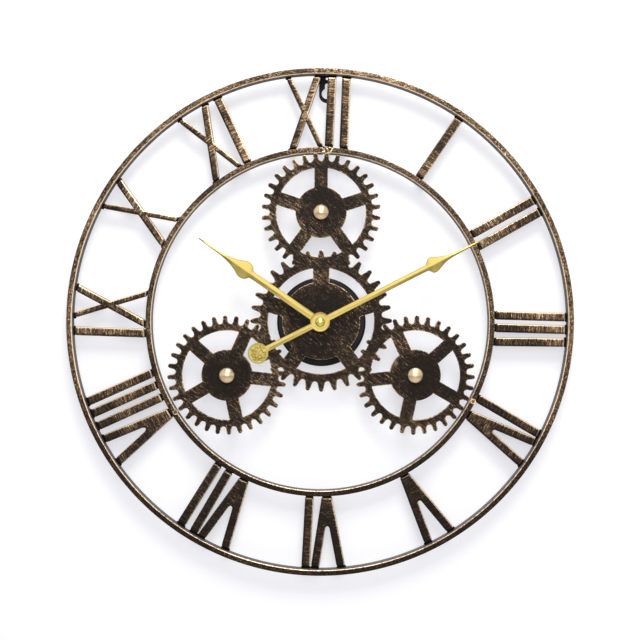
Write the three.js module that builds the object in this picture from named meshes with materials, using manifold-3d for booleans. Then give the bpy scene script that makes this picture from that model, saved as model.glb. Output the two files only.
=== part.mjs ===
// A skeleton wall clock: two tube rings with Roman numerals between them, a laser-cut gear plate,
// a round movement housing and a quartz movement that turns two hands.
//
// Units are millimetres. Shapes are drawn in the dial's frame: x to the right, y up towards twelve
// o'clock and z from the wall towards the viewer. Clock angles are in degrees, clockwise from twelve.
// The group at the end turns this to +Z up with the front towards -Y, and puts the origin where the
// nail bears in the hanger's slot.

import * as THREE from "three";
import { mergeVertices } from "three/addons/utils/BufferGeometryUtils.js";
import Module from "manifold-3d";

const wasm = await Module();
wasm.setup();

// Fits
const seatGap = 0.3; // paint, weld or glue line between two pieces that touch
const runningGap = 0.15; // round a pivot, pipe or stem that turns
const handAirGap = 0.6; // in front of each hand
const cutThrough = 1; // how far a cutting tool runs past the face that it cuts

// Sides of the round forms, and steps of their arcs
const boreSides = 16;
const pinSides = 12;
const discSides = 24;
const magnetSides = 20;
const handDiscSides = 32;
const nutSides = 6;
const housingCornerSteps = 2;
const hangerArcSteps = 10;
const slotArcSteps = 6;

// Rings
const clockRadius = 300;
const innerRingRadius = 206.3;
const ringWidth = 7;
const ringDepth = 12;
const tubeWall = 1;
const tubeArris = 1.3;
const outerRingSegments = 72;
const innerRingSegments = 48;
const jointAngle = 1.1; // where each ring's tube is butt welded
const jointSlit = 0.6;

// Numerals
const barWidth = 10.4;
const veeArmWidth = 10;
const crossThickWidth = 8.4;
const crossThinWidth = 6.2;
const numeralDepth = 7;
const numeralRecess = 3.4; // from the rings' front faces back to the numerals'
const pressingWall = 0.8;
const shoulderInset = 1.5; // rounded long edges
const shoulderDrop = 1.4;
const endDraft = 2.4; // sloping end walls
const veeFootSpread = 1.6;
const veeNotchReach = 38; // from the inner ring to the notch between a V's arms
const veeWebWidth = 9.4;

// Feet and heads of the strokes: sideways places on the inner and outer ring, positive clockwise of
// the hour line. The strokes are welded in by hand, so each hour has its own.
const numerals = [
  { hour: 1, bars: [[16, 22.5]] },
  { hour: 2, bars: [[0, 1.5], [16.5, 17.5]] },
  { hour: 3, bars: [[-8, -5.5], [7, 9.5], [23.5, 24.5]] },
  { hour: 4, bars: [[-15, -14.5]], vee: { foot: 7.5, heads: [-3.8, 26] } },
  { hour: 5, bars: [], vee: { foot: 4.5, heads: [-11, 19.5] } },
  { hour: 6, bars: [[12.5, 17.2]], vee: { foot: -8, heads: [-25, 6.2] } },
  { hour: 7, bars: [[5, 5.5], [20, 23]], vee: { foot: -15.5, heads: [-37, -5.3] } },
  { hour: 8, bars: [[16.5, 25], [32, 41], [47, 56]], vee: { foot: -4.5, heads: [-24, 8] } },
  { hour: 9, bars: [[-13.5, -10.5]], cross: { thick: [-3, 41.5], thin: [34.5, 8] } },
  { hour: 10, bars: [], cross: { thick: [-13.5, 25.5], thin: [21.5, -9.5] } },
  { hour: 11, bars: [[20, 27.5]], cross: { thick: [-23.5, 10.5], thin: [10.3, -24.5] } },
  { hour: 12, bars: [[10.5, 14.5], [28, 31.5]], cross: { thick: [-33, -2.5], thin: [1.5, -37.5] } },
];

// Gear plate: one sheet cut as a large gear with three small ones round it
const plateThickness = 1.5;
const platePlace = [1.2, 1.2]; // welded in a little to the right of the rings' centre, and above it
const plateBorePlay = 1.6; // lets the movement be centred on the hands' side
const plateToothGap = 0.9; // from the small gears' teeth to the inner ring
const gearMesh = 26; // how far the large gear reaches into each small one
const smallGearAngles = [0, 120, 240];
const plateTeeth = 32;
const spokeCount = 5;
const smallGearTip = 70.4;
const smallGear = { toothHeight: 9.7, rimWidth: 8, hub: 30.2, spoke: 15.8 };
const largeGear = { toothHeight: 11.8, rimWidth: 9.3, hub: 46, spoke: 19.5 };
const toothTipWidth = 2.4;
const toothFlankWidth = 5.4;
const toothRound = 2;
const toothGapFloor = 2.8;
const windowRimSteps = 5;
const windowHubSteps = 3;
// Each small gear is tacked to the inner ring at one tooth, clockwise or not of its outward spoke
const tackTurns = [1, -1, -1];
const tackRadius = 3.4;
const tackHeight = 2.2;
const tackOverhang = 2.6; // from the tooth's tip to the tack's middle

// Bosses on the small gears
const bossRadius = 8.8;
const bossSkirt = 1.2;
const bossAirGap = 1; // below the hour hand, which passes over each boss
const bossStemRadius = 2.5;
const bossRivetRadius = 4;
const bossRivetTip = 2.8;
const bossRivetHeight = 1.2;
const domeSteps = 4;
const bossSides = 16;

// Movement housing: a round steel pan, open towards the wall
const housingRadius = 52.5;
const housingDepth = 21;
const housingWall = 1.2;
const housingCorner = 3;
const housingSegments = 36;
const movementShift = 1.5; // the shaft stands a little to the right of the rings' centre

// Hanger with a keyhole, welded behind the outer ring
const hangerShift = 8.3;
const hangerWidth = 19;
const hangerTopInset = 4; // below the outer ring's outer edge
const hangerThickness = 2;
const nailHeadRadius = 6.4;
const slotWidth = 5;
const bearingInset = 15; // from the ring's outer edge to the top of the slot, where the nail bears
const keyholeReach = 12.4; // from there down to the centre of the round hole
const hangerSmallHoleRadius = 1.5;
const hangerSmallHoleReach = 5.4; // from the top of the slot up to the small hole's centre

// Hands: length from the centre, half widths of the blade against the distance from its tip
const minuteAngle = 63.2;
const hourAngle = 304.6;
const handEdge = 0.5; // sheet thickness at the edges
const ridgeBase = 0.9; // height of the middle ridge, which grows with the width
const ridgeShare = 0.16;
const hubRadius = 11.4;
const handHubThickness = 1.2;
const minuteHand = {
  length: 219.2,
  bar: 3.5,
  blade: [
    [0, 0.5], [33, 1.1], [48, 1.9], [56, 3.4], [62.5, 5.8],
    [68.5, 8.6], [72, 9.3], [75.5, 8.4], [79, 4.2],
  ],
};
const hourHand = {
  length: 171.9,
  bar: 4.3,
  blade: [
    [0, 0.6], [26, 1.2], [35, 1.9], [44, 3.4], [54, 6.6],
    [59, 9], [63, 10.4], [67, 10.3], [71, 8.6], [74, 4.8],
  ],
};
const tailReach = 80.7;
const tailDiscRadius = 12;
const capNutRadius = 5.4;
const capNutFlange = 1.2;
const capNutDome = 3.6;
const capNutSides = 12;

// Movement case and its clamping
const caseSize = 56;
const caseThickness = 16;
const caseWall = 1.2;
const rearCaseHeight = 8;
const gasketThickness = 0.9;
const gasketRadius = 12;
const shaftRadius = 4;
const shaftProud = 4.2; // thread left above the nut
const washerRadius = 8;
const washerThickness = 0.8;
const nutRadius = 6.6; // across corners, halved
const nutThickness = 2.5;
const hourPipeRadius = 2.5;
const hourCollarRadius = 3.5;
const minutePipeRadius = 1.6;
const clutchRadius = 2.6; // collars of the minute pipe that grip the centre wheel
const clutchThickness = 0.4;

// Battery, an AA cell that lies along the case's lower edge
const batteryRadius = 7.25;
const batteryLength = 50.5;
const terminalLength = 1;
const terminalRadius = 2.7;
const bayClearance = 0.3;
const bayWall = 1;
const contactPadHalf = 5;
const contactArmHeight = 2;

// Movement gears: teeth, module and the direction of each arbor seen from its neighbour, in degrees
// anticlockwise from the right
const motorModule = 0.375; // rotor, intermediate wheel and seconds wheel
const goingModule = 0.4; // seconds pinion and third wheel
const motionModule = 0.4; // minute pinion, idler, hour wheel and set knob
const addendum = 0.7; // in modules
const dedendum = 1.3;
const teeth = {
  rotorPinion: 8,
  intermediateWheel: 40,
  intermediatePinion: 8,
  secondsWheel: 48,
  secondsPinion: 6,
  thirdWheel: 45,
  thirdPinion: 6,
  centreWheel: 48,
  minutePinion: 10,
  idlerWheel: 30,
  idlerPinion: 8,
  hourWheel: 32,
  knobPinion: 10,
};
const thirdDirection = 20;
const intermediateDirection = 100;
const rotorDirection = 60;
const idlerDirection = 160;
const knobDirection = 172;
const arborRadius = 0.5;
const idlerPinRadius = 0.7;
const postRadius = 1.2; // of the case's posts that hold the stator and the board
const wheelThickness = 0.8;
const bossWall = 0.8; // of a plastic bearing boss round its bore
const pivotDepth = 1; // how far an arbor's end stands in its bearing
const frontBearingHeight = 9.9; // rear ends of the front case's bearing bosses

// Heights in the movement, from the case's rear face
const intermediateWheelHeight = 1.6;
const secondsWheelHeight = 3.1;
const thirdWheelHeight = 4.9;
const centreWheelHeight = 7.7;
const idlerWheelHeight = 9.7;
const idlerWheelThickness = 1.5;
const hourWheelHeight = 12.1;
const hourWheelThickness = 1.2;
const statorHeight = 6.2;
const boardHeight = 9.7;

// Motor and electronics
const magnetRadius = 3.4;
const magnetLength = 4.4;
const statorThickness = 1;
const statorAirGap = 0.6;
const coilRadius = 3.4;
const coilPlace = -18;
const statorLeg = 3.5;
const statorSpan = 13.2;
const coreWidth = 3;
const boardSize = 13;
const boardThickness = 1;
const boardPostInset = 2;
const chipRadius = 2.6;
const chipInset = 9.1;
const crystalInset = 3.2;
const crystalRadius = 1;
const crystalLength = 6;
const setKnobRadius = 6;
const setKnobThickness = 1.6;
const stemRadius = 1;

// Depths from the wall, worked out from the stack, and heights on the hanger
const ringFront = housingDepth;
const ringRear = ringFront - ringDepth;
const numeralFront = ringFront - numeralRecess;
const numeralRear = numeralFront - numeralDepth;
const plateRear = housingDepth + seatGap;
const plateFront = plateRear + plateThickness;
const washerRear = plateFront + seatGap;
const nutRear = washerRear + washerThickness + seatGap;
const shaftTop = nutRear + nutThickness + shaftProud;
const hourHandRear = shaftTop + handAirGap;
const hourPipeTop = hourHandRear + handHubThickness + seatGap;
const gasketRear = housingDepth - housingWall - seatGap - gasketThickness;
const caseFront = gasketRear - seatGap;
const caseRear = caseFront - caseThickness;
const caseSplit = caseRear + rearCaseHeight;
const caseFloor = caseRear + caseWall;
const caseCeiling = caseFront - caseWall;
const caseInside = caseSize / 2 - caseWall;
const hangerFront = ringRear - seatGap;
const hangerMiddle = hangerFront - hangerThickness / 2;
const bearingHeight = clockRadius - bearingInset;
const nailHeadHeight = bearingHeight - keyholeReach;

const ridgeHeight = (halfWidth) => ridgeBase + ridgeShare * halfWidth;
const widest = (hand) => Math.max(...hand.blade.map(([, halfWidth]) => halfWidth));
const minuteHandRear = hourHandRear + handEdge + ridgeHeight(widest(hourHand)) + handAirGap;
const capNutRear = minuteHandRear + handHubThickness + seatGap;
const minutePipeTop = capNutRear + capNutFlange + capNutDome / 2;

// Solids and meshes
const radians = (degrees) => degrees * Math.PI / 180;

function polar(radius, degrees) {
  return new THREE.Vector2(radius * Math.cos(radians(degrees)), radius * Math.sin(radians(degrees)));
}

function onDial(radius, clockDegrees) {
  return polar(radius, 90 - clockDegrees);
}

function signedVolume(position, index) {
  const corners = [0, 1, 2].map(() => new THREE.Vector3());
  let total = 0;
  for (let i = 0; i < index.length; i += 3) {
    corners.forEach((corner, k) => corner.fromArray(position, 3 * index[i + k]));
    total += corners[0].dot(corners[1].clone().cross(corners[2])) / 6;
  }
  return total;
}

function solidOf(geometry) {
  const bare = new THREE.BufferGeometry();
  bare.setAttribute("position", geometry.getAttribute("position"));
  bare.setIndex(geometry.index);
  const merged = mergeVertices(bare);
  const position = new Float32Array(merged.getAttribute("position").array);
  const index = [];
  for (let i = 0; i < merged.index.count; i += 3) {
    const [a, b, c] = merged.index.array.slice(i, i + 3);
    if (a !== b && b !== c && c !== a) index.push(a, b, c);
  }
  if (signedVolume(position, index) < 0) index.reverse();
  const triVerts = new Uint32Array(index);
  return new wasm.Manifold(new wasm.Mesh({ numProp: 3, vertProperties: position, triVerts }));
}

function meshOf(name, solid, material) {
  const { vertProperties, triVerts, numProp } = solid.getMesh();
  const position = [];
  for (let i = 0; i < vertProperties.length; i += numProp) {
    position.push(vertProperties[i], vertProperties[i + 1], vertProperties[i + 2]);
  }
  const geometry = new THREE.BufferGeometry();
  geometry.setAttribute("position", new THREE.Float32BufferAttribute(position, 3));
  geometry.setIndex([...triVerts]);
  geometry.computeVertexNormals();
  const mesh = new THREE.Mesh(geometry, material);
  mesh.name = name;
  return mesh;
}

function joined(solids) {
  return solids.reduce((whole, solid) => whole.add(solid));
}

function rod(radius, rear, front, place = new THREE.Vector2(), sides = boreSides) {
  const geometry = new THREE.CylinderGeometry(radius, radius, front - rear, sides);
  geometry.rotateX(Math.PI / 2);
  geometry.translate(place.x, place.y, (rear + front) / 2);
  return solidOf(geometry);
}

function pin(radius, rear, front, place) {
  return rod(radius, rear, front, place, pinSides);
}

function block(left, right, bottom, top, rear, front) {
  const geometry = new THREE.BoxGeometry(right - left, top - bottom, front - rear);
  geometry.translate((left + right) / 2, (bottom + top) / 2, (rear + front) / 2);
  return solidOf(geometry);
}

function sheet(outline, rear, front, holes = []) {
  const shape = new THREE.Shape(outline);
  shape.holes = holes.map((hole) => new THREE.Path(hole));
  const geometry = new THREE.ExtrudeGeometry(shape, { depth: front - rear, bevelEnabled: false });
  geometry.translate(0, 0, rear);
  return solidOf(geometry);
}

function turned(profile, segments) {
  const points = profile.map(([radius, height]) => new THREE.Vector2(radius, height));
  const geometry = new THREE.LatheGeometry(points, segments);
  geometry.rotateX(Math.PI / 2);
  return solidOf(geometry);
}

// A closed skin over a row of convex loops that all have the same number of points
function skin(loops) {
  const count = loops[0].length;
  const last = (loops.length - 1) * count;
  const index = [];
  for (let start = 0; start < last; start += count) {
    for (let i = 0; i < count; i++) {
      const a = start + i;
      const b = start + (i + 1) % count;
      index.push(a, b, b + count, a, b + count, a + count);
    }
  }
  for (let i = 1; i + 1 < count; i++) {
    index.push(0, i + 1, i);
    index.push(last, last + i, last + i + 1);
  }
  const geometry = new THREE.BufferGeometry().setFromPoints(loops.flat());
  geometry.setIndex(index);
  return solidOf(geometry);
}

function arc(radius, from, to, steps, centre = new THREE.Vector2()) {
  const points = [];
  for (let i = 0; i <= steps; i++) points.push(polar(radius, from + (to - from) * i / steps).add(centre));
  return points;
}

function cornerArc(centreX, centreY, radius, from, to, steps) {
  const centre = new THREE.Vector2(centreX, centreY);
  return arc(radius, from, to, steps, centre).map((point) => [point.x, point.y]);
}

function circle(radius, sides, centre) {
  return arc(radius, 0, 360 * (sides - 1) / sides, sides - 1, centre);
}

// A quarter of a dome's profile, from its rim up to just below its top
function domeProfile(radius, height, rimHeight) {
  return Array.from({ length: domeSteps }, (_, i) => {
    const lift = radians(90 * i / domeSteps);
    return [radius * Math.cos(lift), rimHeight + height * Math.sin(lift)];
  });
}

// Materials
function finish(color, roughness, metalness) {
  return new THREE.MeshStandardMaterial({ color, roughness, metalness });
}
const bronzedIron = finish("#4a3727", 0.5, 0.6);
const handGold = finish("#d8c35f", 0.45, 0.3);
const bossBrass = finish("#e2b783", 0.3, 0.8);
const capBrass = finish("#cfc04a", 0.25, 0.9);
const hangerBlack = finish("#1b1b20", 0.5, 0.3);
const caseBlack = finish("#1a1a1c", 0.6, 0);
const gearPlastic = finish("#e6e3d8", 0.5, 0);
const steel = finish("#b9bcc0", 0.35, 0.9);
const brass = finish("#c9a24a", 0.35, 0.9);
const rubber = finish("#202020", 0.9, 0);
const cellWrap = finish("#3f6f8f", 0.4, 0.2);
const copperWire = finish("#b3622e", 0.45, 0.7);
const boardGreen = finish("#2c6b3c", 0.5, 0);
const magnetGrey = finish("#55565a", 0.5, 0.6);

// Rings: rectangular tube rolled to a circle. The front wall is welded whole at the joint, and the
// other walls keep the slit that lets the tube breathe.
function ring(name, outerRadius, segments) {
  const inner = outerRadius - ringWidth;
  const outside = [
    [inner, ringRear],
    [outerRadius, ringRear],
    [outerRadius, ringFront - tubeArris],
    [outerRadius - tubeArris, ringFront],
    [inner + tubeArris, ringFront],
    [inner, ringFront - tubeArris],
    [inner, ringRear],
  ];
  const cavityFront = ringFront - tubeWall;
  const cavity = [
    [inner + tubeWall, ringRear + tubeWall],
    [outerRadius - tubeWall, ringRear + tubeWall],
    [outerRadius - tubeWall, cavityFront],
    [inner + tubeWall, cavityFront],
    [inner + tubeWall, ringRear + tubeWall],
  ];
  const joint = onDial(outerRadius - ringWidth / 2, jointAngle);
  const halfCut = ringWidth / 2 + cutThrough;
  const halfSlit = jointSlit / 2;
  const slit = block(-halfSlit, halfSlit, -halfCut, halfCut, ringRear - cutThrough, cavityFront - tubeWall)
    .rotate([0, 0, -jointAngle])
    .translate([joint.x, joint.y, 0]);
  const tube = turned(outside, segments).subtract(turned(cavity, segments)).subtract(slit);
  return meshOf(name, tube, bronzedIron);
}

// Numerals: pressed sheet strokes with rounded long edges and sloping ends, hollow behind
const footRadius = innerRingRadius + seatGap;
const headRadius = clockRadius - ringWidth - seatGap;

// Where a line that starts near the dial's middle leaves a circle round it
function onCircle(start, direction, radius) {
  const along = start.dot(direction);
  const reach = Math.sqrt(radius ** 2 - start.lengthSq() + along ** 2) - along;
  return start.clone().addScaledVector(direction, reach);
}

// The four corners of a stroke, anticlockwise: right side, head, left side, foot. A V's web ends at
// its notch, short of the outer ring.
function strokeOutline({ places: [foot, head], width, reach = headRadius }) {
  const start = new THREE.Vector2(foot, Math.sqrt(footRadius ** 2 - foot ** 2));
  const end = new THREE.Vector2(head, Math.sqrt(headRadius ** 2 - head ** 2));
  const along = end.sub(start).normalize();
  const across = new THREE.Vector2(along.y, -along.x).multiplyScalar(width / 2);
  const right = start.clone().add(across);
  const left = start.clone().sub(across);
  return [
    onCircle(right, along, footRadius),
    onCircle(right, along, reach),
    onCircle(left, along, reach),
    onCircle(left, along, footRadius),
  ];
}

// Moves the sides and the ends of an anticlockwise stroke outline inwards
function inset(outline, side, end) {
  const lines = outline.map((corner, i) => {
    const next = outline[(i + 1) % outline.length];
    const along = next.clone().sub(corner).normalize();
    const inward = new THREE.Vector2(-along.y, along.x);
    return { inward, level: inward.dot(corner) + (i % 2 === 0 ? side : end) };
  });
  return outline.map((corner, i) => {
    const a = lines[(i + lines.length - 1) % lines.length];
    const b = lines[i];
    const determinant = a.inward.cross(b.inward);
    return new THREE.Vector2(
      (a.level * b.inward.y - b.level * a.inward.y) / determinant,
      (b.level * a.inward.x - a.level * b.inward.x) / determinant,
    );
  });
}

// A stroke's outer form, or with a wall the hollow that its back opens into
function strokeForm(stroke, wall) {
  const front = numeralFront - wall;
  const rear = numeralRear - (wall > 0 ? cutThrough : 0);
  const levels = [
    { height: rear, side: 0, end: 0 },
    { height: front - shoulderDrop, side: 0, end: endDraft / 2 },
    { height: front - shoulderDrop / 3, side: shoulderInset / 3, end: endDraft * 2 / 3 },
    { height: front, side: shoulderInset, end: endDraft },
  ];
  const outline = strokeOutline(stroke);
  return skin(levels.map(({ height, side, end }) => inset(outline, wall + side, wall + end)
    .map((point) => new THREE.Vector3(point.x, point.y, height))));
}

function pressing(strokes) {
  const outside = joined(strokes.map((stroke) => strokeForm(stroke, 0)));
  const hollow = joined(strokes.map((stroke) => strokeForm(stroke, pressingWall)));
  return outside.subtract(hollow);
}

function numeral({ hour, bars, vee, cross }) {
  const group = new THREE.Group();
  group.rotation.z = -radians(30 * hour);
  const add = (name, strokes) => {
    group.add(meshOf(`numeral_${hour}_${name}`, pressing(strokes), bronzedIron));
  };
  bars.forEach((places, i) => add(`bar_${i + 1}`, [{ places, width: barWidth }]));
  if (vee) {
    const [left, right] = vee.heads;
    add("vee", [
      { places: [vee.foot - veeFootSpread / 2, left], width: veeArmWidth },
      { places: [vee.foot + veeFootSpread / 2, right], width: veeArmWidth },
      { places: [vee.foot, (left + right) / 2], width: veeWebWidth, reach: footRadius + veeNotchReach },
    ]);
  }
  if (cross) {
    add("cross", [
      { places: cross.thick, width: crossThickWidth },
      { places: cross.thin, width: crossThinWidth },
    ]);
  }
  return group;
}

// Gear plate
const smallGearReach = innerRingRadius - ringWidth - plateToothGap - smallGearTip; // between gear centres
const largeGearTip = smallGearReach - smallGearTip + gearMesh;

function plateGearOutline(tip, root, toothAtTop) {
  const pitch = 360 / plateTeeth;
  const angleOf = (width, radius) => THREE.MathUtils.radToDeg(width / 2 / radius);
  const rootHalf = pitch / 2 - angleOf(toothGapFloor, root);
  const outline = [];
  for (let i = 0; i < plateTeeth; i++) {
    const middle = 90 + (i + (toothAtTop ? 0 : 0.5)) * pitch;
    const flank = angleOf(toothFlankWidth, tip - toothRound);
    const crown = angleOf(toothTipWidth, tip);
    outline.push(
      polar(root, middle - rootHalf),
      polar(tip - toothRound, middle - flank),
      polar(tip, middle - crown),
      polar(tip, middle + crown),
      polar(tip - toothRound, middle + flank),
      polar(root, middle + rootHalf),
    );
  }
  return outline;
}

function plateWindows(rim, hub, spoke) {
  const step = 360 / spokeCount;
  const edge = (radius) => THREE.MathUtils.radToDeg(Math.asin(spoke / 2 / radius));
  return Array.from({ length: spokeCount }, (_, i) => {
    const spokeAngle = 90 + i * step;
    return [
      ...arc(rim, spokeAngle + edge(rim), spokeAngle + step - edge(rim), windowRimSteps),
      ...arc(hub, spokeAngle + step - edge(hub), spokeAngle + edge(hub), windowHubSteps),
    ];
  });
}

function plateGear(tip, { toothHeight, rimWidth, hub, spoke }, toothAtTop, boreRadius) {
  const root = tip - toothHeight;
  const windows = plateWindows(root - rimWidth, hub, spoke);
  const bore = circle(boreRadius, boreSides);
  return sheet(plateGearOutline(tip, root, toothAtTop), plateRear, plateFront, [...windows, bore]);
}

// A blob of weld on one tooth's tip that laps over the inner ring's front
function plateTack(turn) {
  const place = onDial(smallGearTip + tackOverhang, turn * 180 / plateTeeth);
  return pin(tackRadius, plateRear, plateRear + tackHeight, place);
}

function gearPlate() {
  const large = plateGear(largeGearTip, largeGear, true, shaftRadius + plateBorePlay);
  const small = plateGear(smallGearTip, smallGear, false, bossStemRadius + runningGap);
  const places = smallGearAngles.map((angle, i) => {
    const place = onDial(smallGearReach, angle);
    return small.add(plateTack(tackTurns[i])).rotate([0, 0, -angle]).translate([place.x, place.y, 0]);
  });
  return meshOf("gear_plate", joined([large, ...places]), bronzedIron);
}

// Bosses: turned and domed brass rivets through the small gears' middles
function gearBoss(number, clockDegrees) {
  const seat = plateFront + seatGap;
  const tail = plateRear - seatGap;
  const shoulder = seat + bossSkirt;
  const dome = hourHandRear - bossAirGap - shoulder;
  const profile = [
    [0, tail - bossRivetHeight],
    [bossRivetTip, tail - bossRivetHeight],
    [bossRivetRadius, tail],
    [bossStemRadius, tail],
    [bossStemRadius, seat],
    [bossRadius, seat],
    ...domeProfile(bossRadius, dome, shoulder),
    [0, shoulder + dome],
  ];
  const mesh = meshOf(`gear_boss_${number}`, turned(profile, bossSides), bossBrass);
  const place = onDial(smallGearReach, clockDegrees);
  mesh.position.set(place.x, place.y, 0);
  return mesh;
}

// Housing
function movementHousing() {
  const inside = housingRadius - housingWall;
  const insideCorner = housingCorner - housingWall;
  const turnRadius = housingRadius - housingCorner;
  const turnDepth = housingDepth - housingCorner;
  const bore = shaftRadius + runningGap;
  const profile = [
    [bore, housingDepth],
    ...cornerArc(turnRadius, turnDepth, housingCorner, 90, 0, housingCornerSteps),
    [housingRadius, 0],
    [inside, 0],
    ...cornerArc(turnRadius, turnDepth, insideCorner, 0, 90, 1),
    [bore, housingDepth - housingWall],
    [bore, housingDepth],
  ];
  return meshOf("movement_housing", turned(profile, housingSegments), bronzedIron);
}

// Hanger
function hangerPlate() {
  const half = hangerWidth / 2;
  const slotHalf = slotWidth / 2;
  const middle = (height) => new THREE.Vector2(hangerShift, height);
  const top = clockRadius - hangerTopInset;
  const lowerCentre = nailHeadHeight - (half - nailHeadRadius) / 2;
  const outline = [
    middle(top).add(new THREE.Vector2(half, 0)),
    middle(top).sub(new THREE.Vector2(half, 0)),
    ...arc(half, 180, 360, hangerArcSteps, middle(lowerCentre)),
  ];
  const meet = THREE.MathUtils.radToDeg(Math.asin(slotHalf / nailHeadRadius));
  const keyhole = [
    ...arc(slotHalf, 0, 180, slotArcSteps, middle(bearingHeight - slotHalf)),
    ...arc(nailHeadRadius, 90 + meet, 450 - meet, boreSides, middle(nailHeadHeight)),
  ];
  const smallHole = circle(hangerSmallHoleRadius, pinSides, middle(bearingHeight + hangerSmallHoleReach));
  const rear = hangerFront - hangerThickness;
  return meshOf("hanger_plate", sheet(outline, rear, hangerFront, [keyhole, smallHole]), hangerBlack);
}

// Hands: sheet metal with a pressed ridge along the middle, so that each blade has two facets
function handBlade(hand, nearEnd) {
  const bladeEnd = hand.length - hand.blade.at(-1)[0];
  const stations = [
    ...hand.blade.map(([fromTip, halfWidth]) => ({ along: hand.length - fromTip, halfWidth })),
    { along: bladeEnd - 1, halfWidth: hand.bar },
    { along: nearEnd, halfWidth: hand.bar },
  ];
  return skin(stations.map(({ along, halfWidth }) => [
    new THREE.Vector3(-halfWidth, along, 0),
    new THREE.Vector3(-halfWidth, along, handEdge),
    new THREE.Vector3(0, along, handEdge + ridgeHeight(halfWidth)),
    new THREE.Vector3(halfWidth, along, handEdge),
    new THREE.Vector3(halfWidth, along, 0),
  ]));
}

function placedHand(name, solid, rear, clockDegrees) {
  const mesh = meshOf(name, solid.rotate([0, 0, -clockDegrees]), handGold);
  mesh.position.z = rear;
  return mesh;
}

function hourHandMesh() {
  const bore = rod(hourPipeRadius + runningGap, -cutThrough, handHubThickness + 2 * ridgeBase);
  const room = rod(minutePipeRadius * 2, handHubThickness, handHubThickness + 2 * ridgeBase);
  const solid = handBlade(hourHand, hubRadius / 2)
    .add(rod(hubRadius, 0, handHubThickness, undefined, handDiscSides))
    .subtract(bore)
    .subtract(room);
  return placedHand("hour_hand", solid, hourHandRear, hourAngle);
}

function minuteHandMesh() {
  const tailDisc = rod(tailDiscRadius, 0, handHubThickness, new THREE.Vector2(0, -tailReach), handDiscSides);
  const clearance = rod(capNutRadius + handAirGap, handHubThickness, handHubThickness + 2 * ridgeBase);
  const solid = handBlade(minuteHand, -tailReach)
    .add(rod(hubRadius, 0, handHubThickness, undefined, handDiscSides))
    .subtract(clearance)
    .add(tailDisc)
    .subtract(rod(minutePipeRadius + runningGap, -cutThrough, handHubThickness + cutThrough));
  return placedHand("minute_hand", solid, minuteHandRear, minuteAngle);
}

function capNut() {
  const bore = minutePipeRadius + runningGap;
  const boreTop = minutePipeTop + seatGap;
  const shoulder = capNutRear + capNutFlange;
  const profile = [
    [0, boreTop],
    [bore, boreTop],
    [bore, capNutRear],
    [capNutRadius, capNutRear],
    ...domeProfile(capNutRadius, capNutDome, shoulder),
    [0, shoulder + capNutDome],
  ];
  return meshOf("cap_nut", turned(profile, capNutSides), capBrass);
}

// Clamping of the movement
function ringWasher(name, outer, rear, thickness, material) {
  const bore = shaftRadius + runningGap;
  return meshOf(name, rod(outer, rear, rear + thickness, undefined, discSides)
    .subtract(rod(bore, rear - cutThrough, rear + thickness + cutThrough)), material);
}

function shaftNut() {
  const bore = rod(shaftRadius + runningGap, nutRear - cutThrough, nutRear + nutThickness + cutThrough);
  const hexagon = rod(nutRadius, nutRear, nutRear + nutThickness, undefined, nutSides);
  return meshOf("shaft_nut", hexagon.subtract(bore), brass);
}

// Movement arbors
const pitchRadius = (count, module) => count * module / 2;
const centreDistance = (first, second, module) => pitchRadius(first + second, module);

// The third wheel's pinion reaches the centre wheel over the distance that the seconds pinion set
const centreModule = goingModule * (teeth.secondsPinion + teeth.thirdWheel)
  / (teeth.thirdPinion + teeth.centreWheel);
const centreArbor = new THREE.Vector2();
const thirdArbor = polar(centreDistance(teeth.secondsPinion, teeth.thirdWheel, goingModule), thirdDirection);
const intermediateArbor = polar(
  centreDistance(teeth.intermediatePinion, teeth.secondsWheel, motorModule),
  intermediateDirection,
);
const rotorArbor = polar(
  centreDistance(teeth.rotorPinion, teeth.intermediateWheel, motorModule),
  rotorDirection,
).add(intermediateArbor);
const idlerPin = polar(centreDistance(teeth.minutePinion, teeth.idlerWheel, motionModule), idlerDirection);
const knobStem = polar(
  centreDistance(teeth.knobPinion, teeth.idlerWheel, motionModule),
  knobDirection,
).add(idlerPin);

// A toothed disc with pointed teeth, one of them at the given direction
function toothed(count, module, rear, thickness, place, firstTooth) {
  const pitch = pitchRadius(count, module);
  const outline = [];
  for (let i = 0; i < count; i++) {
    outline.push(polar(pitch + addendum * module, firstTooth + 360 * i / count).add(place));
    outline.push(polar(pitch - dedendum * module, firstTooth + 360 * (i + 0.5) / count).add(place));
  }
  return sheet(outline, rear, rear + thickness);
}

// Of two meshing wheels, one has a tooth in the direction of the other, and the other a gap
const directionTo = (from, to) => THREE.MathUtils.radToDeg(Math.atan2(to.y - from.y, to.x - from.x));
const facingGap = (from, to, count) => directionTo(from, to) + 180 / count;

const heightOf = (height) => caseRear + height;
const frontBearing = heightOf(frontBearingHeight);
const arborTop = frontBearing + pivotDepth;
const rearBearing = caseFloor - pivotDepth + seatGap; // rear ends of the arbors, in the rear case's floor

function secondsWheel() {
  const rear = heightOf(secondsWheelHeight);
  const pinionFront = heightOf(thirdWheelHeight) + wheelThickness + seatGap;
  const tooth = directionTo(centreArbor, intermediateArbor);
  const leaf = facingGap(centreArbor, thirdArbor, teeth.secondsPinion);
  return meshOf("seconds_wheel", joined([
    toothed(teeth.secondsWheel, motorModule, rear, wheelThickness, centreArbor, tooth),
    toothed(teeth.secondsPinion, goingModule, rear, pinionFront - rear, centreArbor, leaf),
    pin(arborRadius, rearBearing, heightOf(centreWheelHeight) + pivotDepth / 2, centreArbor),
  ]), gearPlastic);
}

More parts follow.
